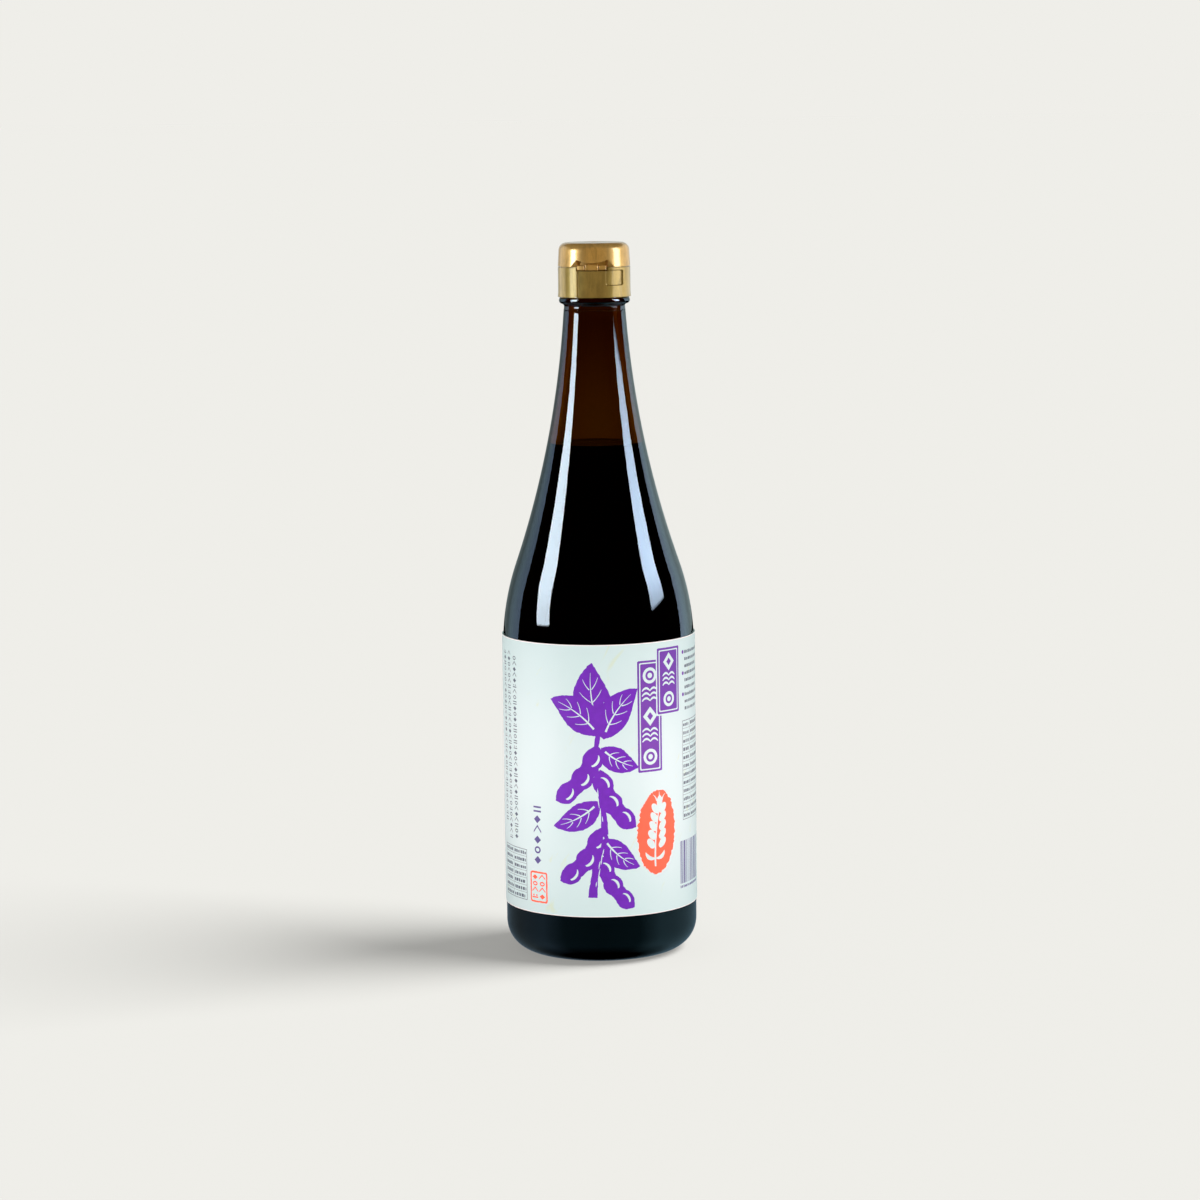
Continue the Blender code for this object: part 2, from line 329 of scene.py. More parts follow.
def outside_line():
    """The glass from the middle of the punt, round the heel and up to the lip."""
    shares = [i / 12 for i in range(13)]
    punt = [(BASE_RING_INNER * t, PUNT_HEIGHT * (1 - smooth(t) ** 1.5)) for t in shares]
    heel = arc((BODY_RADIUS - HEEL_RADIUS, HEEL_RADIUS), HEEL_RADIUS, -pi / 2, 0.0, 20)
    flank = shoulder(0.0, 26, 60)
    foot_r, foot_z = flank[-1]
    flank += [(foot_r - (z - foot_z) * NECK_LEAN, z) for z in (NECK_Z - 0.6 * MM, NECK_Z)]
    # Above the flank the glass flares to the mould's parting line, and swells a little under the bead.
    flare = [(flank[-1][0] + out * MM, NECK_Z + rise * MM) for out, rise in NECK_FLARE]
    ring = arc((flare[-1][0], RING_Z), PARTING_RING, -0.25 * pi, 0.4 * pi, 5)
    shares = [i / 10 for i in range(11)]
    swell = [(NECK_RADIUS + SWELL * sin(pi * t) ** 2, RING_Z + (0.15 + 1.5 * t) * MM) for t in shares]
    round_bead = arc((NECK_RADIUS, 0.0), BEAD_RADIUS - NECK_RADIUS, -0.44 * pi, 0.22 * pi, 16)
    bead = [(r, BEAD_MIDDLE_Z + rise * (BEAD_FLATNESS if rise < 0 else 1.0)) for r, rise in round_bead]
    top = [(NECK_RADIUS + 0.3 * MM, BEAD_TOP_Z), (FINISH_RADIUS, BEAD_TOP_Z + 0.1 * MM)]
    lip = arc((FINISH_RADIUS - LIP_RADIUS, MOUTH_Z - LIP_RADIUS), LIP_RADIUS, 0.0, pi / 2, 5)
    body = subdivided([heel[-1], flank[0]], 6 * MM)[1:-1]
    return punt + heel[1:] + body + flank + flare + ring + swell + bead + top + lip


def thickening(z):
    """How much more glass than the body's wall the neck has, toward the finish."""
    return 0.85 * MM * max(0.0, (z - 215 * MM) / (40 * MM)) ** 1.6


def inside_line(wall):
    """The glass's inner surface from the floor's middle up to the neck."""
    floor = []
    for step in range(9):
        r = BASE_RING_INNER * step / 8
        floor.append((r, FLOOR_THICKNESS + PUNT_HEIGHT * (1 - (r / BASE_RING_INNER) ** 2)))
    center = (BODY_RADIUS - wall - INNER_HEEL_RADIUS, FLOOR_THICKNESS + INNER_HEEL_RADIUS)
    flank = [(r - thickening(z), z) for r, z in shoulder(wall, 12, 36)]
    return floor + arc(center, INNER_HEEL_RADIUS, -pi / 2, 0.0, 10) + flank


def bore_line(inner):
    """The bore from under the lip down to the end of the inner line, which it meets without a bend."""
    (before_r, before_z), (foot_r, foot_z) = inner[-2:]
    rise = BEAD_TOP_Z - foot_z
    lean = (foot_r - before_r) / (foot_z - before_z) * rise
    line = []
    for t in (1 - step / 16 for step in range(16)):
        r = foot_r + (BORE_RADIUS - foot_r) * smooth(t) + lean * t * (1 - t) ** 2
        line.append((r, foot_z + rise * t))
    return line


def glass_relief(r, z, angle):
    """Slow waves that bottle glass keeps from its mould, and the fine seam where the mould's halves met."""
    if z > NECK_Z or r < BASE_RING_INNER / 2 and z < 10 * MM:
        return 0.0
    place = Vector((cos(angle) * 2.2, sin(angle) * 2.2, z / (60 * MM)))
    across = min(abs(wrapped(angle)), abs(wrapped(angle - pi))) * r
    seam = MOULD_SEAM * exp(-((across / MOULD_SEAM_HALF) ** 2)) if z > 3 * MM else 0.0
    return MOULD_WAVE * noise.noise(place) + seam


def amber_bottle_glass(look):
    """Soda-lime bottle glass, pressed and blown: clear-skinned, with the brown in its depth.

    The eye sees sharp reflections on near-black where sauce backs it, and deep brown where it is empty.
    """
    tree, made, out, place = new_material("amber_bottle_glass")
    # Ripple of the mould's skin, about 9 mm from crest to crest.
    ripple = noise_at(tree, place, 110.0, 1.0)
    values = {
        "Base Color": (1.0, 1.0, 1.0, 1.0),
        "Roughness": 0.015,
        "IOR": 1.52,
        "Transmission Weight": 1.0,
        "Normal": bumped(tree, ripple, 0.025, 0.02 * MM),
    }
    surface(tree, out, values)
    values = {"Color": (*look.tint, 1.0), "Density": look.density}
    depth = add_node(tree, "ShaderNodeVolumeAbsorption", values)
    tree.links.new(depth.outputs["Volume"], out.inputs["Volume"])
    return made


def brewed_soy_sauce():
    """Soy sauce behind brown glass: it swallows nearly all light. Its top few millimetres are painted redder,
    a painted glow at its surface.
    """
    tree, made, out, place = new_material("brewed_soy_sauce")
    height = add_node(tree, "ShaderNodeSeparateXYZ", {"Vector": place}).outputs["Z"]
    # Painted glow: the sauce turns redder over its top few millimetres, standing in for light at its surface.
    painted_glow_share = ranged(tree, height, FILL_Z - 4 * MM, FILL_Z + 1.5 * MM)
    tone = blend(tree, painted_glow_share, hex_color("#020202"), hex_color("#0A0302"))
    surface(tree, out, {"Base Color": tone, "Roughness": 0.12, "IOR": 1.1})
    return made


# The label's print, drawn on the flat sheet in mm: s to the right from the front, h up from its low edge.
# What draws returns pairs of an ink and a closed outline, the later ones on top.


def ragged(points, amount, seed):
    """A closed outline as a loaded brush leaves it: split finely, with a small uneven edge."""
    shifted = []
    for x, y in subdivided(points + points[:1], RAGGED_STEP)[:-1]:
        place = Vector((x * 0.9, y * 0.9, seed * 7.3))
        dx = noise.noise(place) + 0.5 * noise.noise(place * 2.7)
        dy = noise.noise(place + Vector((31.0, 0, 0))) + 0.5 * noise.noise(place * 2.7 + Vector((0, 17.0, 0)))
        shifted.append((x + amount * dx, y + amount * dy))
    return shifted


def rectangle(low_s, low_h, high_s, high_h):
    return [(low_s, low_h), (high_s, low_h), (high_s, high_h), (low_s, high_h)]


def rounded(low_s, low_h, high_s, high_h, corner):
    made = []
    for s, h, turn in ((high_s, high_h, 0), (low_s, high_h, 1), (low_s, low_h, 2), (high_s, low_h, 3)):
        center_s = s - corner if turn in (0, 3) else s + corner
        center_h = h - corner if turn in (0, 1) else h + corner
        made += arc((center_s, center_h), corner, turn * pi / 2, (turn + 1) * pi / 2, 4)
    return made


def ellipse(center, half_s, half_h, turn=0.0, count=18):
    made = []
    for angle in even_angles(count):
        x, y = half_s * cos(angle), half_h * sin(angle)
        made.append((center[0] + x * cos(turn) - y * sin(turn), center[1] + x * sin(turn) + y * cos(turn)))
    return made


def diamond(s, h, reach, rise):
    return [(s + reach, h), (s, h + rise), (s - reach, h), (s, h - rise)]


def on_bend(start, end, bend, t, side=0.0):
    """A point beside a line from start to end that bends by so much at its middle."""
    length = dist(start, end)
    ux, uy = (end[0] - start[0]) / length, (end[1] - start[1]) / length
    off = bend * 4 * t * (1 - t) + side
    return start[0] + ux * length * t - uy * off, start[1] + uy * length * t + ux * off


def along(start, end, bend, widths):
    """An outline that follows a bent line from start to end, as wide on each side as widths(t) says."""
    left, right = [], []
    length = dist(start, end)
    ux, uy = (end[0] - start[0]) / length, (end[1] - start[1]) / length
    count = max(12, round(length / 0.8))
    for i in range(count + 1):
        t = i / count
        x, y = on_bend(start, end, bend, t)
        slope = bend * 4 * (1 - 2 * t) / length
        nx, ny = -uy - ux * slope, ux - uy * slope
        share = widths(t) / hypot(nx, ny)
        left.append((x + nx * share, y + ny * share))
        right.append((x - nx * share, y - ny * share))
    return left + right[::-1]


def thinning(foot, tip):
    """Widths that change evenly from one end to the other."""
    return lambda t: foot + (tip - foot) * t


def swelling(middle, ends, power=1.0):
    """Widths that swell toward the middle."""
    return lambda t: middle * sin(pi * t) ** power + ends


def stem_width(half):
    return lambda t: half * (1 - 0.25 * t) * (0.9 + 0.1 * cos(9 * t))


def pod_width(half):
    return lambda t: half * 0.74 * min(1.0, 3.2 * sin(pi * t)) ** 0.8 + 0.12


def leaf_width(half):
    return lambda t: half * sin(pi * t**0.8) ** 0.85 + 0.05


def pod(start, end, bend, half, seed):
    """A pod that swells over three beans, with a light crescent on each."""
    length = dist(start, end)
    turn = atan2(end[1] - start[1], end[0] - start[0])
    drawn, lights = [("purple", ragged(along(start, end, bend, pod_width(half)), 0.2, seed))], []
    for index, (place, share) in enumerate(((0.2, 0.94), (0.5, 1.0), (0.8, 0.9))):
        middle = on_bend(start, end, bend, place)
        size = half * share
        bean = ellipse(middle, length * 0.165, size, turn, 40)
        drawn.append(("purple", ragged(bean, 0.2, seed + index)))
        outer = ellipse(middle, length * 0.105, size * 0.62, turn, 40)[4:19]
        inner = ellipse(middle, length * 0.1, size * 0.36, turn, 40)[18:3:-1]
        lights.append(("paper", outer + inner))
    return drawn + lights


def leaf(start, end, bend, half, seed):
    """A leaf with a light midrib and three pairs of veins."""
    widths = leaf_width(half)
    drawn = [("purple", ragged(along(start, end, bend, widths), 0.28, seed))]
    rib = [on_bend(start, end, bend, t) for t in (0.12, 0.86)]
    drawn.append(("paper", along(*rib, bend * 0.5, thinning(0.42, 0.06))))
    for t in (0.26, 0.44, 0.62):
        reach = 0.62 * widths(t + 0.14)
        for side in (-1, 1):
            foot = on_bend(start, end, bend, t, side * 0.45)
            tip = on_bend(start, end, bend, t + 0.16, side * reach)
            drawn.append(("paper", along(foot, tip, side * 0.3, thinning(0.2, 0.08))))
    return drawn


def dry_streaks(start, end, count, reach, seed):
    """Thin light slits where a dry brush skips, laid along a line."""
    draw = random.Random(seed)
    drawn = []
    for _ in range(count):
        low = draw.uniform(0.1, 0.7)
        high = min(0.95, low + draw.uniform(0.08, 0.25))
        side = draw.uniform(-reach, reach)
        ends = [on_bend(start, end, 0.0, t, side) for t in (low, high)]
        drawn.append(("paper", along(*ends, 0.1, swelling(0.16, 0.02))))
    return drawn


def bean_sprig():
    """The large motif: a bean sprig in purple brushwork, up the middle of the front."""
    stem = [(-3.5, 8.0), (1.5, 34.0), (-1.5, 58.0), (0.5, 80.0)]
    drawn = []
    for index, (start, end) in enumerate(zip(stem, stem[1:])):
        reach = (end[0] + (end[0] - start[0]) * 0.03, end[1] + 0.8)
        stroke = along(start, reach, 0.9 * (-1) ** index, stem_width(1.9 - 0.35 * index))
        drawn.append(("purple", ragged(stroke, 0.2, index)))
    drawn += leaf((0.5, 76.0), (-3.0, 104.0), 2.0, 7.8, 11)
    drawn += leaf((-0.5, 74.5), (-20.5, 89.0), -2.4, 6.6, 12)
    drawn += leaf((1.5, 73.0), (15.8, 93.0), 2.2, 6.4, 13)
    drawn += pod((-1.0, 70.5), (-18.8, 47.5), 3.4, 4.5, 21)
    drawn += leaf((0.6, 69.5), (16.0, 61.0), -1.6, 4.9, 27)
    drawn += pod((0.0, 60.5), (14.6, 36.5), -3.2, 4.4, 22)
    drawn += leaf((-0.6, 47.5), (-19.8, 37.0), 2.0, 5.2, 26)
    drawn += pod((0.8, 37.0), (-17.2, 14.5), 3.2, 4.4, 23)
    drawn += leaf((1.2, 32.5), (16.2, 20.0), -1.8, 5.0, 28)
    drawn += pod((0.2, 25.0), (13.6, 3.6), -2.4, 4.0, 24)
    drawn += dry_streaks((-2.8, 10.0), (1.2, 33.0), 6, 0.9, 31)
    drawn += dry_streaks((1.0, 36.0), (-1.2, 57.0), 4, 0.7, 32)
    return drawn


def outline_box(ink, low_s, low_h, high_s, high_h, line):
    inner = rectangle(low_s + line, low_h + line, high_s - line, high_h - line)
    return [(ink, rectangle(low_s, low_h, high_s, high_h)), ("paper", inner)]


def mark(kind, s, h, size):
    """A plain ornament in the paper's own colour: a ring, a diamond or a pair of waves."""
    if kind == "ring":
        rings = (("paper", 1.0, 18), ("panel", 0.62, 18), ("paper", 0.34, 12))
        return [(ink, ellipse((s, h), size * part, size * part, count=count)) for ink, part, count in rings]
    if kind == "diamond":
        parts = (("paper", 1.0), ("panel", 0.42))
        return [(ink, diamond(s, h, size * part, size * 1.2 * part)) for ink, part in parts]
    waves = []
    for row in (-0.62, 0.0, 0.62):
        for side in (-1, 1):
            start, end = (s + side * size * 1.1, h + row * size), (s, h + row * size)
            waves.append(("paper", along(start, end, -side * 0.36 * size, swelling(0.24, 0.2))))
    return waves


def panel(low_s, low_h, high_s, high_h, kinds, size):
    """A purple panel with a fine light line inside its edge and a column of ornaments."""
    drawn = [("panel", ragged(rounded(low_s, low_h, high_s, high_h, 0.6), 0.05, low_s))]
    for ink, inset in (("paper", 0.85), ("panel", 1.35)):
        drawn.append((ink, rounded(low_s + inset, low_h + inset, high_s - inset, high_h - inset, 0.5)))
    step = (high_h - low_h - 4.0) / len(kinds)
    for index, kind in enumerate(kinds):
        drawn += mark(kind, (low_s + high_s) / 2, high_h - 2.0 - step * (index + 0.5), size)
    return drawn


def ear_seal(s, h, half, height):
    """A red-orange oval stamp with a rough rim and a light ear of wheat."""
    drawn = [("red", ragged(ellipse((s, h), half, height / 2, -0.05, 60), 0.8, 3))]
    foot, tip = (s - 1.2, h - height * 0.41), (s + 1.0, h + height * 0.3)
    drawn.append(("paper", ragged(along(foot, tip, 0.8, thinning(0.42, 0.28)), 0.06, 5)))
    for index in range(5):
        x, y = between(foot, tip, 0.34 + 0.145 * index)
        reach = half * (0.3 - 0.025 * index)
        for side in (-1, 1):
            grain = ellipse((x + side * reach, y + 1.3), half * 0.26, half * 0.155, side * 0.95, 22)
            drawn.append(("paper", ragged(grain, 0.12, 8 + index + side)))
    grain = ellipse((tip[0] + 0.1, tip[1] + 1.9), half * 0.27, half * 0.15, 1.5, 22)
    drawn.append(("paper", ragged(grain, 0.1, 21)))
    for side in (-1, 0, 1):
        start = (tip[0] + side * 1.3, tip[1] + 3.4 - abs(side))
        end = (start[0] + side * 1.8, start[1] + 2.7)
        drawn.append(("paper", along(start, end, side * 0.3, thinning(0.34, 0.08))))
    for side in (-1, 1):
        start, end = (foot[0] + 0.2, foot[1] + 3.4), (foot[0] + side * 4.6, foot[1] + 6.2)
        blade = along(start, end, -side * 1.2, swelling(0.75, 0.08, 0.8))
        drawn.append(("paper", ragged(blade, 0.08, 25 + side)))
    return drawn


def dab(kind, s, h, wide, tall, line, ink):
    """One small plain ornament: two bars, a diamond, a ring, a chevron or a bar with dots."""
    half = wide / 2
    if kind == 0:
        middles = [h + side * tall * 0.24 for side in (-1, 1)]
        return [(ink, rectangle(s - half, at - line / 2, s + half, at + line / 2)) for at in middles]
    if kind == 1:
        return [(ink, diamond(s, h, half * 0.9, tall * 0.46))]
    if kind == 2:
        reach, rise = half * 0.82, tall * 0.42
        hole = ellipse((s, h), max(0.2, reach - line), max(0.2, rise - line), count=10)
        return [(ink, ellipse((s, h), reach, rise, count=12)), ("paper", hole)]
    if kind == 3:
        under = [(s - half, h - tall * 0.4), (s, h + tall * 0.3), (s + half, h - tall * 0.4)]
        return [(ink, under + [(x, y + line * 1.2) for x, y in under[::-1]])]
    base = h - tall * 0.3
    dots = [(s + side * half * 0.5, h + tall * 0.2) for side in (-1, 1)]
    drawn = [(ink, rectangle(s - half, base, s + half, base + line))]
    return drawn + [(ink, ellipse(dot, line * 0.75, line * 0.75, count=8)) for dot in dots]


def dab_column(s, high_h, low_h, wide, tall, line, ink, seed, gap=0.3):
    """A column of small plain ornaments, about as dense as a column of print."""
    draw = random.Random(seed)
    drawn, h, last = [], high_h - tall / 2, None
    while h - tall / 2 >= low_h - 0.01:
        last = draw.choice([kind for kind in range(5) if kind != last])
        drawn += dab(last, s, h, wide, tall, line, ink)
        h -= tall + gap
    return drawn


def square_seal(low_s, low_h, high_s, high_h):
    """A red outlined seal with two columns of plain marks."""
    drawn = [("red", ragged(rounded(low_s, low_h, high_s, high_h, 1.0), 0.16, 6))]
    inner = rounded(low_s + 0.7, low_h + 0.7, high_s - 0.7, high_h - 0.7, 0.6)
    drawn.append(("paper", ragged(inner, 0.1, 7)))
    width = (high_s - low_s) / 2 - 1.1
    for side, seed in ((-1, 3), (1, 9)):
        s = (low_s + high_s) / 2 + side * (width / 2 + 0.15)
        drawn += dab_column(s, high_h - 1.2, low_h + 1.0, width - 0.2, 2.3, 0.55, "red", seed, 0.35)
    return drawn


def fine_row(low_s, high_s, h, height, ink, seed):
    """A line of small dabs in place of a line of small print."""
    draw = random.Random(seed)
    drawn, s = [], low_s
    while s < high_s - 0.5:
        width = draw.uniform(0.5, 1.6)
        drawn.append((ink, rectangle(s, h, min(s + width, high_s), h + height * draw.uniform(0.75, 1.0))))
        s += width + draw.uniform(0.3, 0.5)
    return drawn


def fine_rows(low_s, high_s, top_h, step, rows, height, seed, every=1, short=0.0):
    """Lines of small dabs, the last of every so many shorter than the others."""
    drawn = []
    for row in range(rows):
        end = high_s - (short if row % every == every - 1 else 0.0)
        drawn += fine_row(low_s, end, top_h - row * step, height, "print", seed + row)
    return drawn


def ruled_table(low_s, low_h, high_s, high_h, rows, split, seed):
    """A fine ruled box with rows of dabs."""
    drawn = outline_box("print", low_s, low_h, high_s, high_h, 0.24)
    step = (high_h - low_h) / rows
    drawn.append(("print", rectangle(split, low_h + 0.3, split + 0.16, high_h - 0.3)))
    for row in range(rows):
        base = low_h + step * row
        if row:
            drawn.append(("print", rectangle(low_s + 0.3, base, split - 0.05, base + 0.14)))
            drawn.append(("print", rectangle(split + 0.2, base, high_s - 0.3, base + 0.14)))
        height = min(1.4, step * 0.5)
        lift = base + (step - height) / 2
        drawn += fine_row(low_s + 0.7, split - 0.5, lift, height, "print", seed + row)
        drawn += fine_row(split + 0.7, high_s - 0.7, lift, height, "print", seed + 50 + row)
    return drawn


def stock_bars(low_s, low_h, high_s, high_h, seed):
    """Upright bars of uneven width, with a row of dabs below."""
    draw = random.Random(seed)
    drawn, s = [], low_s
    while s < high_s - 0.7:
        width = draw.choice((0.35, 0.35, 0.7, 1.05))
        drawn.append(("bars", rectangle(s, low_h + 1.8, s + width, high_h)))
        s += width + draw.choice((0.4, 0.5, 0.8))
    return drawn + fine_row(low_s, high_s, low_h, 1.1, "bars", seed)


def front_print():
    drawn = bean_sprig()
    drawn += panel(15.8, 58.5, 27.2, 104.0, ("ring", "wave", "diamond", "wave", "ring"), 3.3)
    drawn.append(("paper", rounded(24.5, 80.9, 38.3, 109.0, 0.8)))
    drawn += panel(25.1, 81.5, 37.7, 108.4, ("diamond", "wave", "ring"), 3.1)
    drawn += ear_seal(24.6, 33.5, 9.4, 34.5)
    drawn += square_seal(-32.3, 4.4, -23.2, 17.2)
    drawn += dab_column(-28.0, 44.8, 19.5, 4.0, 3.6, 0.72, "bars", 42, 0.6)
    return drawn


def left_print():
    drawn = []
    for index, (s, high_h, low_h) in enumerate(((-41.6, 104.5, 28), (-46.6, 106.0, 27), (-51.6, 106.0, 34))):
        drawn += dab_column(s, high_h, low_h, 2.9, 2.0, 0.4, "print", 60 + index)
    drawn += ruled_table(-53.5, 4.5, -34.4, 25.5, 7, -44.5, 70)
    drawn += fine_rows(-75.0, -60.5, 96.0, 2.6, 17, 1.1, 90, 5, 3)
    drawn += outline_box("panel", -76.0, 10.0, -59.5, 44.0, 0.35)
    return drawn + fine_rows(-74.4, -61.5, 39.8, 2.8, 11, 1.1, 120)


def right_print():
    drawn = []
    for index in range(9):
        s, h = 41.0, 104.5 - index * 2.9
        if index % 3 == 0:
            drawn.append(("panel", ellipse((s, h + 0.7), 0.8, 0.8, count=12)))
        drawn += fine_row(s + 1.4, 58.5 - (index % 3), h, 1.3, "print", 150 + index)
    drawn += ruled_table(40.2, 36.0, 59.0, 77.0, 12, 47.0, 170)
    drawn += stock_bars(37.9, 8.0, 55.5, 27.5, 190)
    drawn.append(("panel", rounded(63.0, 88.0, 84.0, 104.0, 2.0)))
    drawn.append(("paper", rounded(63.7, 88.7, 83.3, 103.3, 1.5)))
    drawn += fine_rows(65.2, 81.5, 99.6, 2.6, 5, 1.2, 200)
    return drawn + fine_rows(63.0, 84.0, 83.5, 2.7, 24, 1.1, 220, 6, 6)


def back_print():
    """Both ends of the sheet: a band of plain waves low down and lines of dabs up high."""
    drawn = []
    for side in (-1, 1):
        for row in range(3):
            for column in range(4):
                s, h = side * (91.0 + column * 6.4 + (row % 2) * 3.2), 14.0 + row * 3.0
                drawn.append(("panel", along((s - 2.9, h), (s + 2.9, h), 1.7, swelling(0.32, 0.08))))
        drawn += fine_rows(side * 101.0 - 10.0, side * 101.0 + 10.0, 92.0, 3.0, 8, 1.2, 260 + side)
    return drawn


def turning(points, face):
    """Twice the signed area of a flat face: above 0 where it turns left."""
    total = 0.0
    for i, j in zip(face, [*face[1:], face[0]]):
        total += points[i].x * points[j].y - points[j].x * points[i].y
    return total


def cut_sheet(drawn):
    """The flat sheet cut along every printed edge: its points, its triangles, and each triangle's ink.

    Upright cuts every 2 degrees let the sheet bend round the bottle.
    """
    points, loops, inks = [], [], []
    edges = [-SHEET_HALF + 2 * SHEET_HALF * index / SHEET_STRIPS for index in range(SHEET_STRIPS + 1)]
    sheet = [("paper", rectangle(low, 0.0, high, SHEET_HEIGHT)) for low, high in zip(edges, edges[1:])]
    # Near-white bands along the sheet's top and bottom edges: a painted highlight for the light that the
    # label's cut edges catch.
    for low, high in ((0.0, 0.25), (SHEET_HEIGHT - 0.3, SHEET_HEIGHT)):
        sheet.append(("painted_edge_light", rectangle(-SHEET_HALF, low, SHEET_HALF, high)))
    for ink, outline in sheet + drawn:
        loops.append(list(range(len(points), len(points) + len(outline))))
        # The cut takes every outline as running anticlockwise.
        turn = turning([Vector(p) for p in outline], range(len(outline)))
        points.extend(Vector(p) for p in (outline if turn > 0 else outline[::-1]))
        inks.append(ink)
    cut, _, faces, _, _, sources = delaunay_2d_cdt(points, [], loops, 1, 1e-4, True)
    return cut, faces, [inks[max(found)] for found in sources]


def wrapped_label(name, looks):
    """Bends the cut sheet round the glass, and gives it a back and cut edges."""
    flat, faces, inks = cut_sheet(front_print() + left_print() + right_print() + back_print())
    verts = []
    for radius in (LABEL_OUTER, LABEL_INNER):
        for point in flat:
            angle = FRONT + point.x * MM / LABEL_OUTER
            verts.append((radius * cos(angle), radius * sin(angle), LABEL_LOW + point.y * MM))
    count = len(flat)
    front = [f if turning(flat, f) > 0 else f[::-1] for f in faces]
    back = [tuple(count + i for i in reversed(f)) for f in front]
    sides = dict.fromkeys((a, b) for face in front for a, b in zip(face, face[1:] + face[:1]))
    rims = [(b, a, count + a, count + b) for a, b in sides if (b, a) not in sides]
    mesh = bpy.data.meshes.new(name)
    mesh.from_pydata(verts, [], [tuple(f) for f in front] + back + rims)
    for ink in INKS:
        mesh.materials.append(looks[ink])
    slots = [INKS.index(ink) for ink in inks] + [0] * (len(back) + len(rims))
    mesh.polygons.foreach_set("material_index", slots)
    mesh.shade_smooth()
    normals = []
    for polygon in mesh.polygons:
        side = 1 if polygon.index < len(front) else -1 if polygon.index < 2 * len(front) else 0
        for vert in polygon.vertices:
            out = Vector((verts[vert][0], verts[vert][1], 0.0)).normalized()
            normals.append(out * side if side else polygon.normal.copy())
    mesh.normals_split_custom_set(normals)
    return linked(name, mesh)


def paper_bump(tree, place):
    """Tooth of the label paper, about 0.3 mm, drawn a little coarser than it is so that it shows."""
    return bumped(tree, noise_at(tree, place, 3200.0, 2.0), 0.35, 0.02 * MM)


def mint_label_paper(look):
    """Varnished label paper with a pale mint ground: a few short, slanted, olive flecks lie in it."""
    tree, made, out, place = new_material("mint_label_paper")
    # Flecks about 2 mm wide and 12 mm long, slanted to the right.
    slanted = stretched(tree, place, (1.0, 1.0, 1.0), radians(-32))
    fleck = noise_at(tree, stretched(tree, slanted, (240.0, 240.0, 52.0)), 1.0, 3.0, 0.5)
    # Broad clouds about 30 mm across.
    cloud = noise_at(tree, place, 32.0, 1.0)
    ground = blend(tree, cloud, (*look.paper, 1.0), (*look.paper_shade, 1.0))
    tinted = blend(tree, ranged(tree, fleck, 0.66, 0.78, 0.0, 0.6), ground, hex_color("#C9DCB4"))
    values = {
        "Base Color": tinted,
        "Roughness": 0.5,
        "Specular IOR Level": 0.25,
        "Normal": paper_bump(tree, place),
    }
    surface(tree, out, values)
    return made


def printed_ink(name, color, depth):
    """Offset ink on the same paper: a thin satin film whose tone drifts a little, as hand inking does."""
    tree, made, out, place = new_material(name)
    # Uneven inking, 2 to 3 mm across.
    uneven = noise_at(tree, place, 380.0, 3.0)
    low, high = ([min(1.0, c * share) for c in color[:3]] for share in (1 - depth, 1 + depth))
    values = {
        "Base Color": blend(tree, uneven, (*low, 1.0), (*high, 1.0)),
        "Roughness": 0.45,
        "Specular IOR Level": 0.25,
        "Normal": paper_bump(tree, place),
    }
    surface(tree, out, values)
    return made


# The cap.


def across_front(angle):
    """How far round from the cap's front a point is, along the surface, and from its back."""
    turn = wrapped(angle - FRONT - CAP_TURN)
    return turn * SEAM_RADIUS, wrapped(turn - pi) * SEAM_RADIUS


def skirt_relief(r, z, angle):
    """The skirt's share of the hinge recess, its tear slit with a raised edge, and the finger panel."""
    if r < SKIRT_INNER + 0.2 * MM or z < CAP_LOW + 0.05 * MM:
        return 0.0
    s, _ = across_front(angle)
    recess = inside_box(s, z, (-HINGE_ARC, HINGE_LOW), (HINGE_ARC, CAP_TOP), 0.3 * MM, 0.12 * MM)
    cut = RECESS_DEPTH * recess + 0.7 * MM * inside_box(s, z, *PANEL, 0.9 * MM, 0.3 * MM)
    below = smooth((HINGE_LOW + 0.1 * MM - z) / (0.2 * MM))
    slit = 0.55 * MM * exp(-(((s - SLIT_ARC) / (0.13 * MM)) ** 2)) * below
    lip = 0.14 * MM * exp(-(((s - SLIT_ARC - 0.45 * MM) / (0.2 * MM)) ** 2)) * below
    return lip - cut - slit


def recess_top(s):
    """The upper edge of the recess, higher at both ends than in the middle."""
    return LID_LOW + (1.5 + 1.25 * (abs(s) / HINGE_ARC) ** 1.6) * MM


def lid_relief(r, z, angle):
    """The lid's share of the hinge recess, a slanted facet each side of it, and the thumb lip."""
    if r < SKIRT_INNER - 1.5 * MM or z > CAP_TOP - LID_EDGE:
        return 0.0
    s, back = across_front(angle)
    recess = smooth(0.5 + (HINGE_ARC - abs(s)) / (0.12 * MM))
    recess *= smooth(0.5 + (recess_top(s) - z) / (0.14 * MM))
    beside = (abs(s) - HINGE_ARC) / CHEEK
    above = (z - LID_LOW) / CHEEK
    facet = max(0.0, 1 - beside - above) if beside > 0 else 0.0
    thumb_low, thumb_high = (-THUMB_ARC, LID_LOW - MM), (THUMB_ARC, LID_LOW + 1.35 * MM)
    thumb = inside_box(back, z, thumb_low, thumb_high, 0.6 * MM, 0.5 * MM)
    return 1.15 * MM * thumb - RECESS_DEPTH * recess - 0.85 * MM * facet


def cap_angles(edges, fine, reach):
    """Angles about Z, finer across the hinge and near each edge, a distance round the cap from its front."""
    places = spread(-pi * SEAM_RADIUS, pi * SEAM_RADIUS, 0.75 * MM, edges, fine, reach)
    places = sorted(set(places) | set(spread(-HINGE_ARC + fine * reach, HINGE_ARC - fine * reach, 0.22 * MM)))
    return [FRONT + CAP_TURN + place / SEAM_RADIUS for place in places[:-1]]


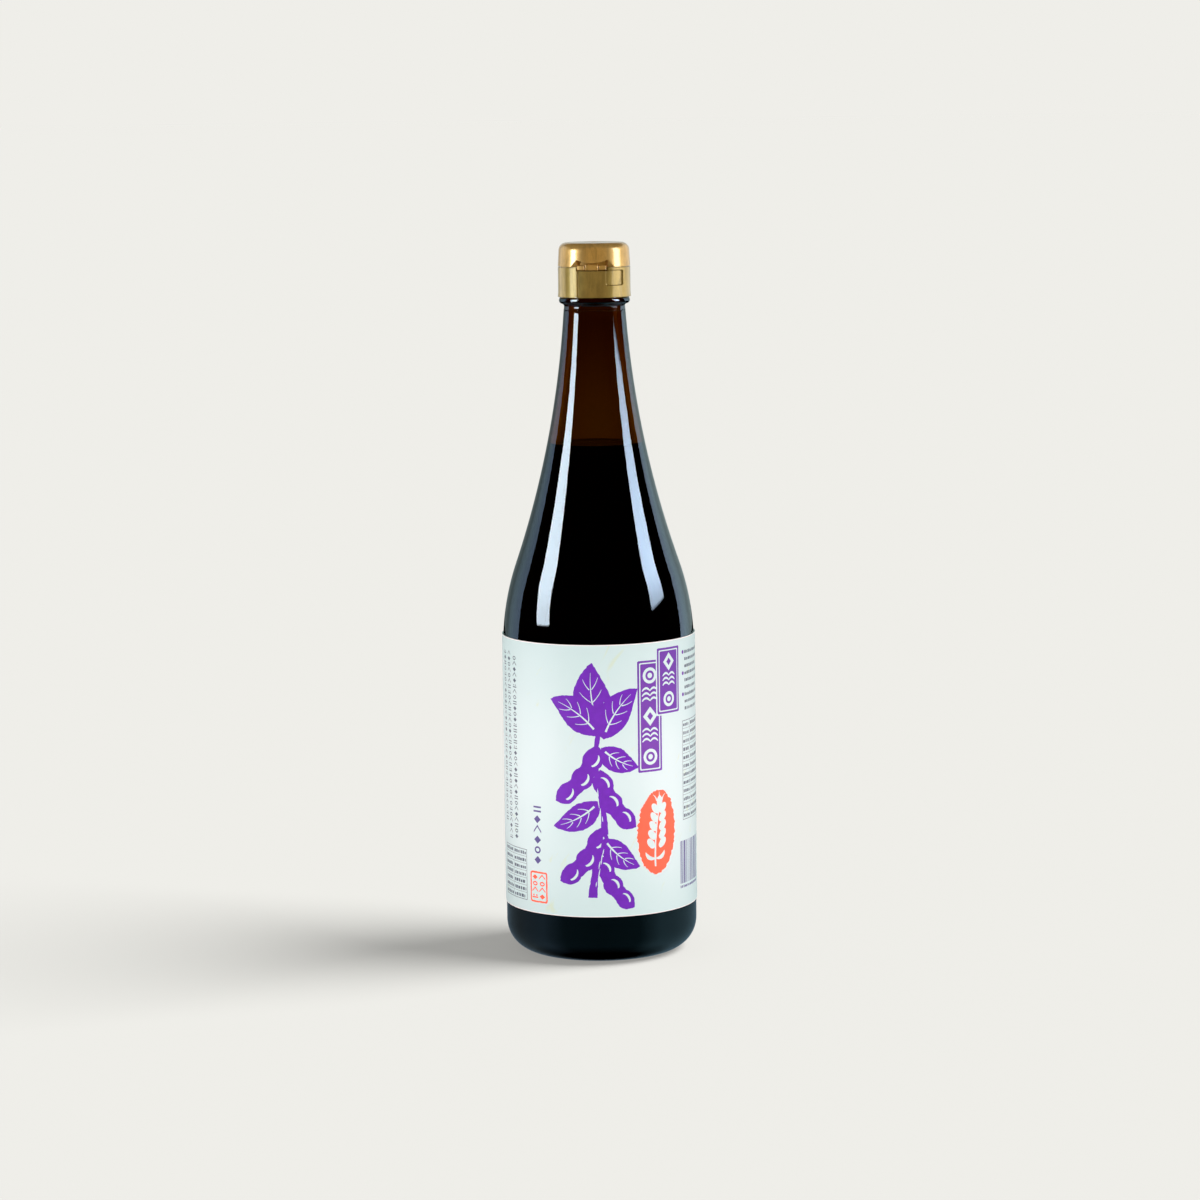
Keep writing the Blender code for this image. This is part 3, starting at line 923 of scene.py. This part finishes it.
def pearl_gold_plastic(look, name, pigment):
    """Polypropylene moulded with gold pearl pigment: a warm satin metal glint over an ochre body.

    The pigment lies in faint flow lines, and the moulded skin has a slight orange peel.
    """
    tree, made, out, place = new_material(name)
    # Flow lines of the melt, about 2 mm wide and 8 mm tall.
    flow = noise_at(tree, stretched(tree, place, (460.0, 460.0, 120.0)), 1.0, 2.0, 0.8)
    # The colour given is the lid's or the skirt's gold, which differ only by painted light and shade.
    thin = tuple(0.78 * c for c in pigment) + (1.0,)
    body = blend(tree, ranged(tree, flow, 0.36, 0.62), thin, (*pigment, 1.0))
    # Pearl flakes, about 0.1 mm, drawn at 0.25 mm so that they show.
    flakes = add_node(tree, "ShaderNodeTexVoronoi", {"Vector": place, "Scale": 4000.0}, feature="F1")
    glint = ranged(tree, flakes.outputs["Color"], 0.0, 1.0, 0.92, 1.08)
    tone = add_node(tree, "ShaderNodeVectorMath", {0: body, "Scale": glint}, operation="SCALE")
    values = {
        "Base Color": tone.outputs["Vector"],
        "Metallic": look.metallic,
        "Roughness": look.roughness,
        "Coat Weight": 1.0,
        "Coat Roughness": 0.11,
        "Normal": bumped(tree, noise_at(tree, place, 900.0, 2.0), 0.3, 0.03 * MM),
    }
    surface(tree, out, values)
    return made


def curved_block(name, radii, heights, arcs, bevel):
    """A block bent round the cap between two distances from its front, with rounded edges."""
    verts, faces, steps = [], [], 8
    for i in range(steps + 1):
        angle = FRONT + CAP_TURN + (arcs[0] + (arcs[1] - arcs[0]) * i / steps) / SEAM_RADIUS
        for r, z in rectangle(radii[0], heights[0], radii[1], heights[1]):
            verts.append((r * cos(angle), r * sin(angle), z))
    for a in range(0, 4 * steps, 4):
        faces += [(a + k, a + 4 + k, a + 4 + (k + 1) % 4, a + (k + 1) % 4) for k in range(4)]
    faces += [(3, 2, 1, 0), tuple(4 * steps + k for k in range(4))]
    obj = mesh_object(name, verts, faces)
    edge = obj.modifiers.new("round", "BEVEL")
    edge.width = bevel
    edge.segments = 3
    edge.limit_method = "ANGLE"
    edge.angle_limit = radians(40)
    return obj


# Settings that a user would change.

COLOR = {"subtype": "COLOR", "size": 3, "min": 0.0, "max": 1.0}
SHARE = {"min": 0.0, "max": 1.0}
LENGTH = {"min": 0.0, "unit": "LENGTH"}


class GlassSettings(bpy.types.PropertyGroup):
    tint: bpy.props.FloatVectorProperty(
        name="Tint", description="Colour that the glass keeps in depth", default=(0.78, 0.57, 0.0), **COLOR
    )
    density: bpy.props.FloatProperty(
        name="Density", description="How fast glass darkens with depth, per metre", default=1500.0, min=0.0
    )
    wall: bpy.props.FloatProperty(
        name="Wall", description="Thickness of the body's wall", default=2.7 * MM, **LENGTH
    )


class SauceSettings(bpy.types.PropertyGroup):
    level: bpy.props.FloatProperty(
        name="Level", description="Height of the sauce above the base", default=FILL_Z, **LENGTH
    )
    climb: bpy.props.FloatProperty(
        name="Climb", description="How far the sauce climbs at its edge", default=0.35 * MM, **LENGTH
    )


class LabelSettings(bpy.types.PropertyGroup):
    paper: bpy.props.FloatVectorProperty(
        name="Paper", description="Ground colour of the label", default=hex_color("#C7E4E6")[:3], **COLOR
    )
    paper_shade: bpy.props.FloatVectorProperty(
        name="Paper shade", description="Cooler tone in the clouds", default=hex_color("#BFE0E0")[:3], **COLOR
    )
    purple: bpy.props.FloatVectorProperty(
        name="Purple", description="Ink of the large motif", default=hex_color("#6A24B6")[:3], **COLOR
    )
    red: bpy.props.FloatVectorProperty(
        name="Red", description="Ink of the seals", default=hex_color("#FF684C")[:3], **COLOR
    )


class CapSettings(bpy.types.PropertyGroup):
    # The lid and the skirt are one plastic. The lid's gold is painted lighter and warmer and the skirt's
    # darker and more olive: painted light and shade.
    lid_gold_painted_lighter: bpy.props.FloatVectorProperty(
        name="Lid gold", description="Gold of the lid, painted lighter and warmer as painted light", default=hex_color("#E3B05E")[:3], **COLOR
    )
    skirt_gold_painted_darker: bpy.props.FloatVectorProperty(
        name="Skirt gold", description="Gold of the skirt, painted darker and more olive as painted shade", default=hex_color("#CCAC5A")[:3], **COLOR
    )
    metallic: bpy.props.FloatProperty(
        name="Pearl", description="How metallic the pigment looks", default=0.7, **SHARE
    )
    roughness: bpy.props.FloatProperty(
        name="Roughness", description="Spread of the cap's reflections", default=0.34, **SHARE
    )


class StageSettings(bpy.types.PropertyGroup):
    backdrop: bpy.props.FloatVectorProperty(
        name="Backdrop", description="Colour behind the bottle", default=hex_color("#EFEEE9")[:3], **COLOR
    )
    key: bpy.props.FloatProperty(
        name="Key", description="Strength of the light that casts the shadow", default=31.1, min=0.0
    )
    fill: bpy.props.FloatProperty(
        name="Fill", description="Strength of the six lights on the label", default=0.2, min=0.0
    )
    floor: bpy.props.FloatProperty(
        name="Floor", description="How much of the key's light the floor returns", default=0.08, **SHARE
    )
    glow: bpy.props.FloatProperty(
        name="Floor glow", description="The floor's own share of the backdrop's colour", default=0.34, min=0.0
    )


# Operators, one for each piece or group of like pieces, and one for the stage.


class BOTTLE_OT_glass(bpy.types.Operator):
    """Blow the amber glass: punt, heel, body, shoulder, neck, bead and finish"""

    bl_idname = "soybottle.glass"
    bl_label = "Glass"

    def execute(self, context):
        look = settings_of(context, "bottle_glass")
        inner = [point for point in inside_line(look.wall) if point[1] < NECK_Z - 3 * MM]
        mouth = [(BORE_RADIUS + LIP_RADIUS / 2, MOUTH_Z), (BORE_RADIUS, MOUTH_Z - LIP_RADIUS / 2)]
        line = outside_line() + mouth + bore_line(inner) + inner[::-1]
        # Finer angles across the mould's two seams.
        seam = [side * mm * MM / BODY_RADIUS for mm in (0.12, 0.26, 0.5) for side in (-1, 1)]
        angles = sorted(even_angles(192) + [(pi * half + e) % (2 * pi) for half in (0, 1) for e in seam])
        glass = turned("glass_bottle", line, angles, glass_relief)
        glass.data.materials.append(amber_bottle_glass(look))
        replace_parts(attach(glass, "root"), "bottle")
        return {"FINISHED"}


class BOTTLE_OT_sauce(bpy.types.Operator):
    """Fill the bottle with sauce that reaches just into the glass wall and climbs it at the edge"""

    bl_idname = "soybottle.sauce"
    bl_label = "Soy sauce"

    def execute(self, context):
        look = settings_of(context, "bottle_sauce")
        wall = settings_of(context, "bottle_glass").wall - SAUCE_INTO_WALL
        line = [point for point in inside_line(wall) if point[1] < look.level]
        line = [(r, z - SAUCE_INTO_WALL if z < 15 * MM else z) for r, z in line]
        edge = line[-1][0] - (look.level - line[-1][1]) * 0.27
        for step in range(25):
            r = edge * (1 - step / 24)
            line.append((r, look.level + look.climb * exp(-(edge - r) / (1.4 * MM))))
        sauce = turned("sauce", line, even_angles(144))
        sauce.data.materials.append(brewed_soy_sauce())
        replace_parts(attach(sauce, "root"), "soy_sauce")
        return {"FINISHED"}


class BOTTLE_OT_label(bpy.types.Operator):
    """Wrap the printed label round the body"""

    bl_idname = "soybottle.label"
    bl_label = "Label"

    def execute(self, context):
        look = settings_of(context, "bottle_label")
        looks = {
            "paper": mint_label_paper(look),
            "purple": printed_ink("purple_brush_ink", look.purple, 0.16),
            "panel": printed_ink("purple_panel_ink", hex_color("#6C3CA8"), 0.08),
            "red": printed_ink("vermilion_seal_ink", look.red, 0.1),
            "print": printed_ink("blue_grey_small_print_ink", hex_color("#5E6E7C"), 0.1),
            "bars": printed_ink("blue_violet_bar_ink", hex_color("#5A5590"), 0.1),
            # The edge bands are near-white: a painted highlight where the label's cut edges catch the light,
            # laid on like an ink.
            "painted_edge_light": printed_ink("painted_edge_highlight_ink", hex_color("#FAFCFC"), 0.02),
        }
        label = wrapped_label("paper_label", looks)
        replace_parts(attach(label, "root"), "label")
        return {"FINISHED"}


class BOTTLE_OT_skirt(bpy.types.Operator):
    """Mould the cap's skirt with its tear slit, finger panel and half of the hinge recess"""

    bl_idname = "soybottle.skirt"
    bl_label = "Cap skirt"

    def execute(self, context):
        look = settings_of(context, "bottle_cap")
        inside = [(0.0, DECK_UNDER_Z), (SKIRT_INNER - CAP_HEM, DECK_UNDER_Z)]
        inside += [(SKIRT_INNER, DECK_UNDER_Z - CAP_HEM), (SKIRT_INNER, CAP_LOW + CAP_HEM)]
        inside.append((SKIRT_INNER + CAP_HEM, CAP_LOW))
        foot = arc((CAP_LOW_RADIUS - CAP_HEM, CAP_LOW + CAP_HEM), CAP_HEM, -pi / 2, 0.0, 4)
        edges = [HINGE_LOW, PANEL[0][1], PANEL[1][1]]
        heights = spread(CAP_LOW + CAP_HEM, SKIRT_TOP - CAP_RIM, 0.45 * MM, edges, 0.05 * MM, 4)
        # The skirt stands upright, apart from a slight flare at its foot.
        flare = CAP_LOW_RADIUS - SEAM_RADIUS
        wall = [(SEAM_RADIUS + flare * smooth((CAP_LOW + 2.5 * MM - z) / (2.5 * MM)), z) for z in heights[1:]]
        crest = arc((SEAM_RADIUS - CAP_RIM, SKIRT_TOP - CAP_RIM), CAP_RIM, 0.0, pi / 2, 3)[1:]
        # A low collar stands just behind the seam, so that no light comes through the gap.
        collar_r, collar_z = SEAM_RADIUS - 1.0 * MM, SKIRT_TOP + 0.25 * MM
        deck = [(collar_r, SKIRT_TOP), (collar_r, collar_z), (SKIRT_INNER - MM, collar_z), (0.0, collar_z)]
        line = inside + foot + wall + crest + deck
        cuts = [-HINGE_ARC, HINGE_ARC, PANEL[0][0], PANEL[1][0], SLIT_ARC, SLIT_ARC + 0.4 * MM]
        skirt = turned("cap_skirt", line, cap_angles(cuts, 0.06 * MM, 6), skirt_relief)
        # The skirt's gold is painted darker and more olive than the lid's, as painted shade.
        skirt.data.materials.append(pearl_gold_plastic(look, "pearl_gold_skirt_plastic_painted_darker", look.skirt_gold_painted_darker))
        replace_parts(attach(skirt, "root"), "cap_base")
        return {"FINISHED"}


class BOTTLE_OT_lid(bpy.types.Operator):
    """Mould the lid with its recess, slanted facets and thumb lip, and the hinge's block and straps"""

    bl_idname = "soybottle.lid"
    bl_label = "Cap lid and hinge"

    def execute(self, context):
        look = settings_of(context, "bottle_cap")
        # The lid's gold, also used by the hinge, is painted lighter and warmer than the skirt's, as painted
        # light.
        gold = pearl_gold_plastic(look, "pearl_gold_lid_plastic_painted_lighter", look.lid_gold_painted_lighter)
        low, edge_z, dimple_z = LID_LOW + CAP_RIM, CAP_TOP - LID_EDGE, CAP_TOP - 0.12 * MM
        foot = arc((SEAM_RADIUS - CAP_RIM, low), CAP_RIM, -pi / 2, 0.0, 3)
        finer = spread(low, LID_LOW + CHEEK + 0.3 * MM, 0.07 * MM)
        heights = sorted({*spread(low, edge_z, 0.35 * MM), *finer})
        slope = (LID_TOP_RADIUS - SEAM_RADIUS) / (edge_z - LID_LOW)
        wall = [(SEAM_RADIUS + slope * (z - LID_LOW), z) for z in heights[1:-1]]
        round_edge = arc((LID_TOP_RADIUS - LID_EDGE, edge_z), LID_EDGE, 0.03, pi / 2, 12)
        top = [(6.0 * MM, CAP_TOP), (0.9 * MM, CAP_TOP), (0.7 * MM, dimple_z), (0.0, dimple_z)]
        floor = [(0.0, LID_LOW), (SKIRT_INNER - 1.6 * MM, LID_LOW)]
        line = floor + foot + wall + round_edge + top
        cuts = [-HINGE_ARC, HINGE_ARC]
        cuts += [side * (HINGE_ARC + CHEEK * part / 6) for side in (-1, 1) for part in range(1, 7)]
        cuts += [side * (pi * SEAM_RADIUS - THUMB_ARC) for side in (-1, 1)]
        lid = turned("cap_lid_shell", line, cap_angles(cuts, 0.08 * MM, 4), lid_relief)
        lid.data.materials.append(gold)
        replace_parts(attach(lid, "root"), "cap_lid")
        for name, sizes in HINGE_PIECES.items():
            start, end, sunk, foot_z, top_z = (size * MM for size in sizes)
            radii = (SEAM_RADIUS - 2.1 * MM, SEAM_RADIUS - sunk)
            piece = curved_block(name, radii, (foot_z, top_z), (start, end), 0.2 * MM)
            piece.data.materials.append(gold)
            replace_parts(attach(piece, "root"), "cap_lid")
        return {"FINISHED"}


# The studio. Cards that only reflections see shape the glass, as flags and white cards do on a real set.
# Azimuths are in degrees from the camera's side, positive to the right.

CAMERA_DISTANCE = 1.526
CAMERA_HEIGHT = 0.3484
CAMERA_SIDE = 0.8 * MM
CAMERA_PITCH = radians(7.6)
CAMERA_ROLL = radians(-0.69)
CAMERA_LENS_MM = 112.5
FLOOR_HALF = 60.0
KEY_SPREAD, KEY_AZIMUTH, KEY_RISE = 42, 90, 47
STRIP_DISTANCE = 1.5
STRIP_STEPS = 10
CARD_STEPS = 12
SOFT_BOX_DISTANCE = 1.2
SOFT_BOX_LOW = 0.01
FILL_DISTANCE = 0.125
FILL_COLOR = (1.0, 0.56, 0.58)
FILLS = (
    ("back_left_fill", -145, 0.9), ("edge_fill", -92, 0.35), ("left_fill", -47, 0.92),
    ("front_fill", 0, 0.28), ("right_fill", 51, 1.15), ("back_right_fill", 145, 0.9),
)
# For each row of a strip its two ends, azimuth and height, and its share of the strip's glow.
STRIPS = {
    "left_strip": (
        (14.0, 16.6, 18.8),
        ((-80, 0.2), (-61.5, 0.235), 0), ((-80.2, 0.22), (-61.7, 0.255), 0.86),
        ((-83, 0.4), (-63, 0.4), 0.95), ((-86, 0.56), (-64, 0.56), 1.05),
        ((-86, 0.8), (-63, 0.8), 1.08), ((-86.5, 1.8), (-61, 1.8), 1.12),
    ),
    "right_strip": (
        (10.8, 13.9, 18.0),
        ((70.2, 0.35), (93.5, 0.39), 0), ((70.2, 0.4), (93.5, 0.42), 0.62),
        ((70.2, 0.56), (93.5, 0.56), 0.9), ((69.5, 0.72), (92.5, 0.72), 1.1),
        ((68.5, 0.84), (91.5, 0.84), 1.05), ((67.5, 1.6), (91.5, 1.6), 0.8),
    ),
}
# For each wall the azimuth where it starts, and its glow there, at 131, at 146 and at 180 degrees.
WALLS = (
    (-1, "left_wall", 113, (0.7, 1.0, 1.45), (0.5, 0.74, 0.9), (0.2, 0.27, 0.28), (0.17, 0.21, 0.21)),
    (1, "right_wall", 118, (1.2, 1.6, 2.2), (0.95, 1.35, 1.6), (0.45, 0.6, 0.62), (0.25, 0.31, 0.31)),
)
HAZE = (
    (-180, (0.1, 0.15, 0.2)), (-117, (0.12, 0.17, 0.2)), (-74, (0.16, 0.29, 0.4)), (-45, (0.04, 0.1, 0.13)),
    (0, (0.03, 0.085, 0.11)), (45, (0.04, 0.11, 0.14)), (74, (0.19, 0.4, 0.5)), (117, (0.17, 0.31, 0.38)),
    (180, (0.1, 0.15, 0.2)),
)
# For each soft box its azimuth, how many degrees it spans, its top and its glow. The skirt has weaker ones
# than the lid, as the real strips thin out toward the floor.
SOFT_BOXES = {
    "lid_left_strip": (-70, 18, 0.66, (6.2, 7.4, 10.0)),
    "lid_right_strip": (79, 25, 1.0, (3.9, 4.6, 6.0)),
    "lid_left_side": (-124, 40, 1.0, (0.54, 0.6, 0.62)),
    "lid_right_side": (126, 50, 1.0, (0.62, 0.64, 0.6)),
    "lid_back": (180, 60, 1.0, (0.45, 0.48, 0.46)),
    "lid_front": (5, 80, 1.9, (0.13, 0.085, 0.0)),
    "skirt_left_strip": (-71, 24, 0.6, (2.1, 2.4, 2.9)),
    "skirt_right_strip": (80, 38, 0.6, (1.35, 1.4, 1.5)),
    "skirt_left_side": (-124, 40, 1.0, (0.76, 0.78, 0.78)),
    "skirt_right_side": (126, 50, 1.0, (0.74, 0.74, 0.68)),
    "skirt_back": (180, 60, 1.0, (0.45, 0.48, 0.46)),
    "skirt_front": (5, 80, 1.0, (0.07, 0.03, 0.0)),
}


def around(azimuth, distance, z):
    """A point at this azimuth and distance from the axis."""
    turn = FRONT + radians(azimuth)
    return distance * cos(turn), distance * sin(turn), z


def card(name, distances, stops, low_share=1.0):
    """A bent glowing card, its lower and upper edge each at its own distance.

    Each stop is its azimuth, its lower and upper edge, and its glow, of which the lower edge has low_share.
    """
    verts, glows = [], []
    for first, second in zip(stops, stops[1:]):
        for i in range(CARD_STEPS + 1):
            azimuth, *heights = between(first[:3], second[:3], i, CARD_STEPS)
            glow = between(first[3], second[3], i, CARD_STEPS)
            verts += [around(azimuth, distance, z) for distance, z in zip(distances, heights)]
            glows += [[c * low_share for c in glow], glow]
    faces = [(i, i + 2, i + 3, i + 1) for i in range(0, len(verts) - 2, 2)]
    return glowing(name, verts, faces, glows)


def strip(name, glow, rows):
    """A tall glowing strip."""
    verts, glows = [], []
    for start, end, share in rows:
        for i in range(STRIP_STEPS + 1):
            azimuth, z = between(start, end, i, STRIP_STEPS)
            verts.append(around(azimuth, STRIP_DISTANCE, z))
            glows.append([c * share for c in glow])
    return glowing(name, verts, grid_faces(len(rows), STRIP_STEPS + 1), glows)


def grid_faces(rows, wide):
    """The faces between rows of wide points each."""
    starts = [row * wide + i for row in range(rows - 1) for i in range(wide - 1)]
    return [(a, a + 1, a + 1 + wide, a + wide) for a in starts]


def glowing(name, verts, faces, glows):
    """A mesh that gives off the light of its points and that only reflections see."""
    mesh = bpy.data.meshes.new(name)
    mesh.from_pydata(verts, [], faces)
    tint = mesh.color_attributes.new("glow", "FLOAT_COLOR", "POINT")
    for point, glow in zip(tint.data, glows):
        point.color = (*glow, 1.0)
    tree, made, out, _ = new_material(name + "_glow")
    color = add_node(tree, "ShaderNodeVertexColor", layer_name="glow")
    light = add_node(tree, "ShaderNodeEmission", {"Color": color.outputs["Color"]})
    tree.links.new(light.outputs["Emission"], out.inputs["Surface"])
    mesh.materials.append(made)
    obj = linked(name, mesh)
    obj.visible_camera = False
    obj.visible_diffuse = False
    obj.visible_transmission = False
    obj.visible_shadow = False
    obj.visible_volume_scatter = False
    return obj


def lamp(name, kind, energy, color, taken):
    """A light that only these objects take."""
    data = bpy.data.lights.new(name, kind)
    data.energy = energy
    data.color = color
    light = linked(name, data)
    shine_on(light, "takes_" + name, taken)
    return light


def soft_box(name, azimuth, wide_degrees, top, glow, taken):
    """An upright rectangular light that faces the axis, as bright as glow wherever it is seen."""
    wide = 2 * SOFT_BOX_DISTANCE * tan(radians(wide_degrees / 2))
    tall = top - SOFT_BOX_LOW
    strongest = max(glow)
    light = lamp(name, "AREA", 4 * wide * tall * strongest, [part / strongest for part in glow], taken)
    light.data.shape = "RECTANGLE"
    light.data.size = wide
    light.data.size_y = tall
    light.location = around(azimuth, SOFT_BOX_DISTANCE, (SOFT_BOX_LOW + top) / 2)
    light.rotation_euler = (pi / 2, 0.0, radians(azimuth))
    light.visible_camera = False


def shine_on(light, name, objects):
    """Limits a light to these objects."""
    takers = bpy.data.collections.new(name)
    for obj in objects:
        takers.objects.link(obj)
    light.light_linking.receiver_collection = takers


class BOTTLE_OT_stage(bpy.types.Operator):
    """Set up the camera, the pale floor and backdrop, the key light and the reflected cards"""

    bl_idname = "soybottle.stage"
    bl_label = "Stage"

    def execute(self, context):
        look = settings_of(context, "bottle_stage")
        context.scene.view_settings.view_transform = "Standard"
        self.camera(context.scene)
        self.backdrop(context.scene, look)
        self.floor(look)
        self.key(look)
        self.fill(look)
        self.glass_cards()
        self.beyond_the_glass()
        self.cap_lights()
        return {"FINISHED"}

    def camera(self, scene):
        camera = linked("camera", bpy.data.cameras.new("camera"))
        camera.data.lens = CAMERA_LENS_MM
        camera.data.clip_end = 200.0
        camera.location = (CAMERA_SIDE, -CAMERA_DISTANCE, CAMERA_HEIGHT)
        aim = Matrix.Rotation(pi / 2 - CAMERA_PITCH, 3, "X") @ Matrix.Rotation(CAMERA_ROLL, 3, "Z")
        camera.rotation_euler = aim.to_euler()
        scene.camera = camera

    def backdrop(self, scene, look):
        world = bpy.data.worlds.new("studio")
        scene.world = world
        world.use_nodes = True
        world.node_tree.nodes["Background"].inputs["Color"].default_value = (*look.backdrop, 1.0)
        world.cycles_visibility.glossy = False
        world.cycles_visibility.transmission = False

    def floor(self, look):
        """Most of the floor's light is its own, so that the bottle's only gloom is the key's shadow."""
        corners = rectangle(-FLOOR_HALF, -FLOOR_HALF, FLOOR_HALF, FLOOR_HALF)
        floor = mesh_object("floor", [(x, y, 0.0) for x, y in corners], [(0, 1, 2, 3)])
        tree, made, out, _ = new_material("matte_pale_sweep")
        matte = add_node(tree, "ShaderNodeBsdfDiffuse", {"Color": (look.floor, look.floor, look.floor, 1.0)})
        own = tuple(c * look.glow for c in look.backdrop) + (1.0,)
        glow = add_node(tree, "ShaderNodeEmission", {"Color": own})
        both = add_node(tree, "ShaderNodeAddShader", {0: matte.outputs["BSDF"], 1: glow.outputs["Emission"]})
        tree.links.new(both.outputs["Shader"], out.inputs["Surface"])
        floor.data.materials.append(made)
        floor.visible_glossy = False
        floor.visible_transmission = False

    def key(self, look):
        """A large soft light from the right that only the floor takes, for the shadow."""
        light = lamp("key", "SUN", look.key, look.backdrop, [bpy.data.objects["floor"]])
        light.data.angle = radians(KEY_SPREAD)
        rise = radians(KEY_RISE)
        toward = Vector(around(KEY_AZIMUTH, cos(rise), sin(rise)))
        light.rotation_euler = toward.to_track_quat("Z", "Y").to_euler()
        light.visible_glossy = False

    def fill(self, look):
        """Weak near lights all round that whiten the label at mid-height, and light nothing else."""
        for name, azimuth, share in FILLS:
            light = lamp(name, "POINT", look.fill * share, FILL_COLOR, [bpy.data.objects["paper_label"]])
            light.data.shadow_soft_size = 0.02
            light.location = around(azimuth, FILL_DISTANCE, (LABEL_LOW + LABEL_HIGH) / 2)
            light.visible_glossy = False
            light.visible_camera = False

    def glass_cards(self):
        """What the glass and the label mirror: a strip each side, dim walls and a faint haze from below."""
        made = [strip(name, glow, rows) for name, (glow, *rows) in STRIPS.items()]
        for seen in made:
            seen.visible_transmission = True
        for side, name, start, *glows in WALLS:
            stops = zip((start, 131, 146, 180), glows)
            stops = [(side * azimuth, -0.15, 2.0, glow) for azimuth, glow in stops]
            made.append(card(name, (2.5, 2.5), stops))
        stops = [(azimuth, -0.1, -0.1, glow) for azimuth, glow in HAZE]
        made += [card("low_haze", (0.125, 0.8), stops), card("low_haze_edge", (0.05, 0.125), stops, 0.0)]
        taken = [bpy.data.objects[name] for name in ("glass_bottle", "paper_label", "sauce")]
        for index, lit in enumerate(made):
            shine_on(lit, "takes_glass_card_%d" % index, taken)

    def beyond_the_glass(self):
        """What shows through the empty neck: a dim room straight behind, brighter to each side."""
        dim_high, dim_low, side = (0.055, 0.12, 0.08), (0.17, 0.23, 0.1), (0.75, 1.8, 0.5)
        verts, glows = [], []
        for z, dim in ((-0.6, dim_low), (0.08, dim_low), (0.2, dim_low), (0.42, dim_high), (0.9, dim_high)):
            for azimuth in range(-180, 181, 4):
                beside = smooth((abs(azimuth) - 70) / 35) * smooth((160 - abs(azimuth)) / 12)
                verts.append(around(azimuth, 0.3, z))
                glows.append(between(dim, side, beside))
        seen = glowing("beyond", verts, grid_faces(5, 91), glows)
        seen.visible_glossy = False
        seen.visible_transmission = True

    def cap_lights(self):
        """The satin cap's own soft boxes: a strip each side, a glow behind and a warm dimness in front."""
        parts = {"lid": ("cap_lid_shell", "hinge_"), "skirt": ("cap_skirt",)}
        for name, sizes in SOFT_BOXES.items():
            starts = parts[name.split("_")[0]]
            soft_box(name, *sizes, [obj for obj in bpy.data.objects if obj.name.startswith(starts)])


class BOTTLE_PT_looks(bpy.types.Panel):
    bl_idname = "BOTTLE_PT_looks"
    bl_label = "Soy sauce bottle"
    bl_space_type = "VIEW_3D"
    bl_region_type = "UI"
    bl_category = "Bottle"

    def draw(self, context):
        for name, kind, operators in SECTIONS:
            box = self.layout.box()
            found = settings_of(context, name)
            for field in kind.__annotations__:
                box.prop(found, field)
            for operator in operators:
                box.operator(operator)


SECTIONS = (
    ("bottle_glass", GlassSettings, ("soybottle.glass",)),
    ("bottle_sauce", SauceSettings, ("soybottle.sauce",)),
    ("bottle_label", LabelSettings, ("soybottle.label",)),
    ("bottle_cap", CapSettings, ("soybottle.skirt", "soybottle.lid")),
    ("bottle_stage", StageSettings, ("soybottle.stage",)),
)
OPERATORS = (
    BOTTLE_OT_glass,
    BOTTLE_OT_sauce,
    BOTTLE_OT_label,
    BOTTLE_OT_skirt,
    BOTTLE_OT_lid,
    BOTTLE_OT_stage,
)


def register():
    for name, kind, _ in SECTIONS:
        bpy.utils.register_class(kind)
        setattr(bpy.types.Scene, name, bpy.props.PointerProperty(type=kind))
    for kind in (*OPERATORS, BOTTLE_PT_looks):
        bpy.utils.register_class(kind)


def unregister():
    for kind in (BOTTLE_PT_looks, *reversed(OPERATORS)):
        bpy.utils.unregister_class(kind)
    for name, kind, _ in reversed(SECTIONS):
        delattr(bpy.types.Scene, name)
        bpy.utils.unregister_class(kind)


def main():
    register()
    for kind in OPERATORS:
        area, call = kind.bl_idname.split(".")
        getattr(getattr(bpy.ops, area), call)()
    bpy.context.view_layer.update()


if __name__ == "__main__":
    main()
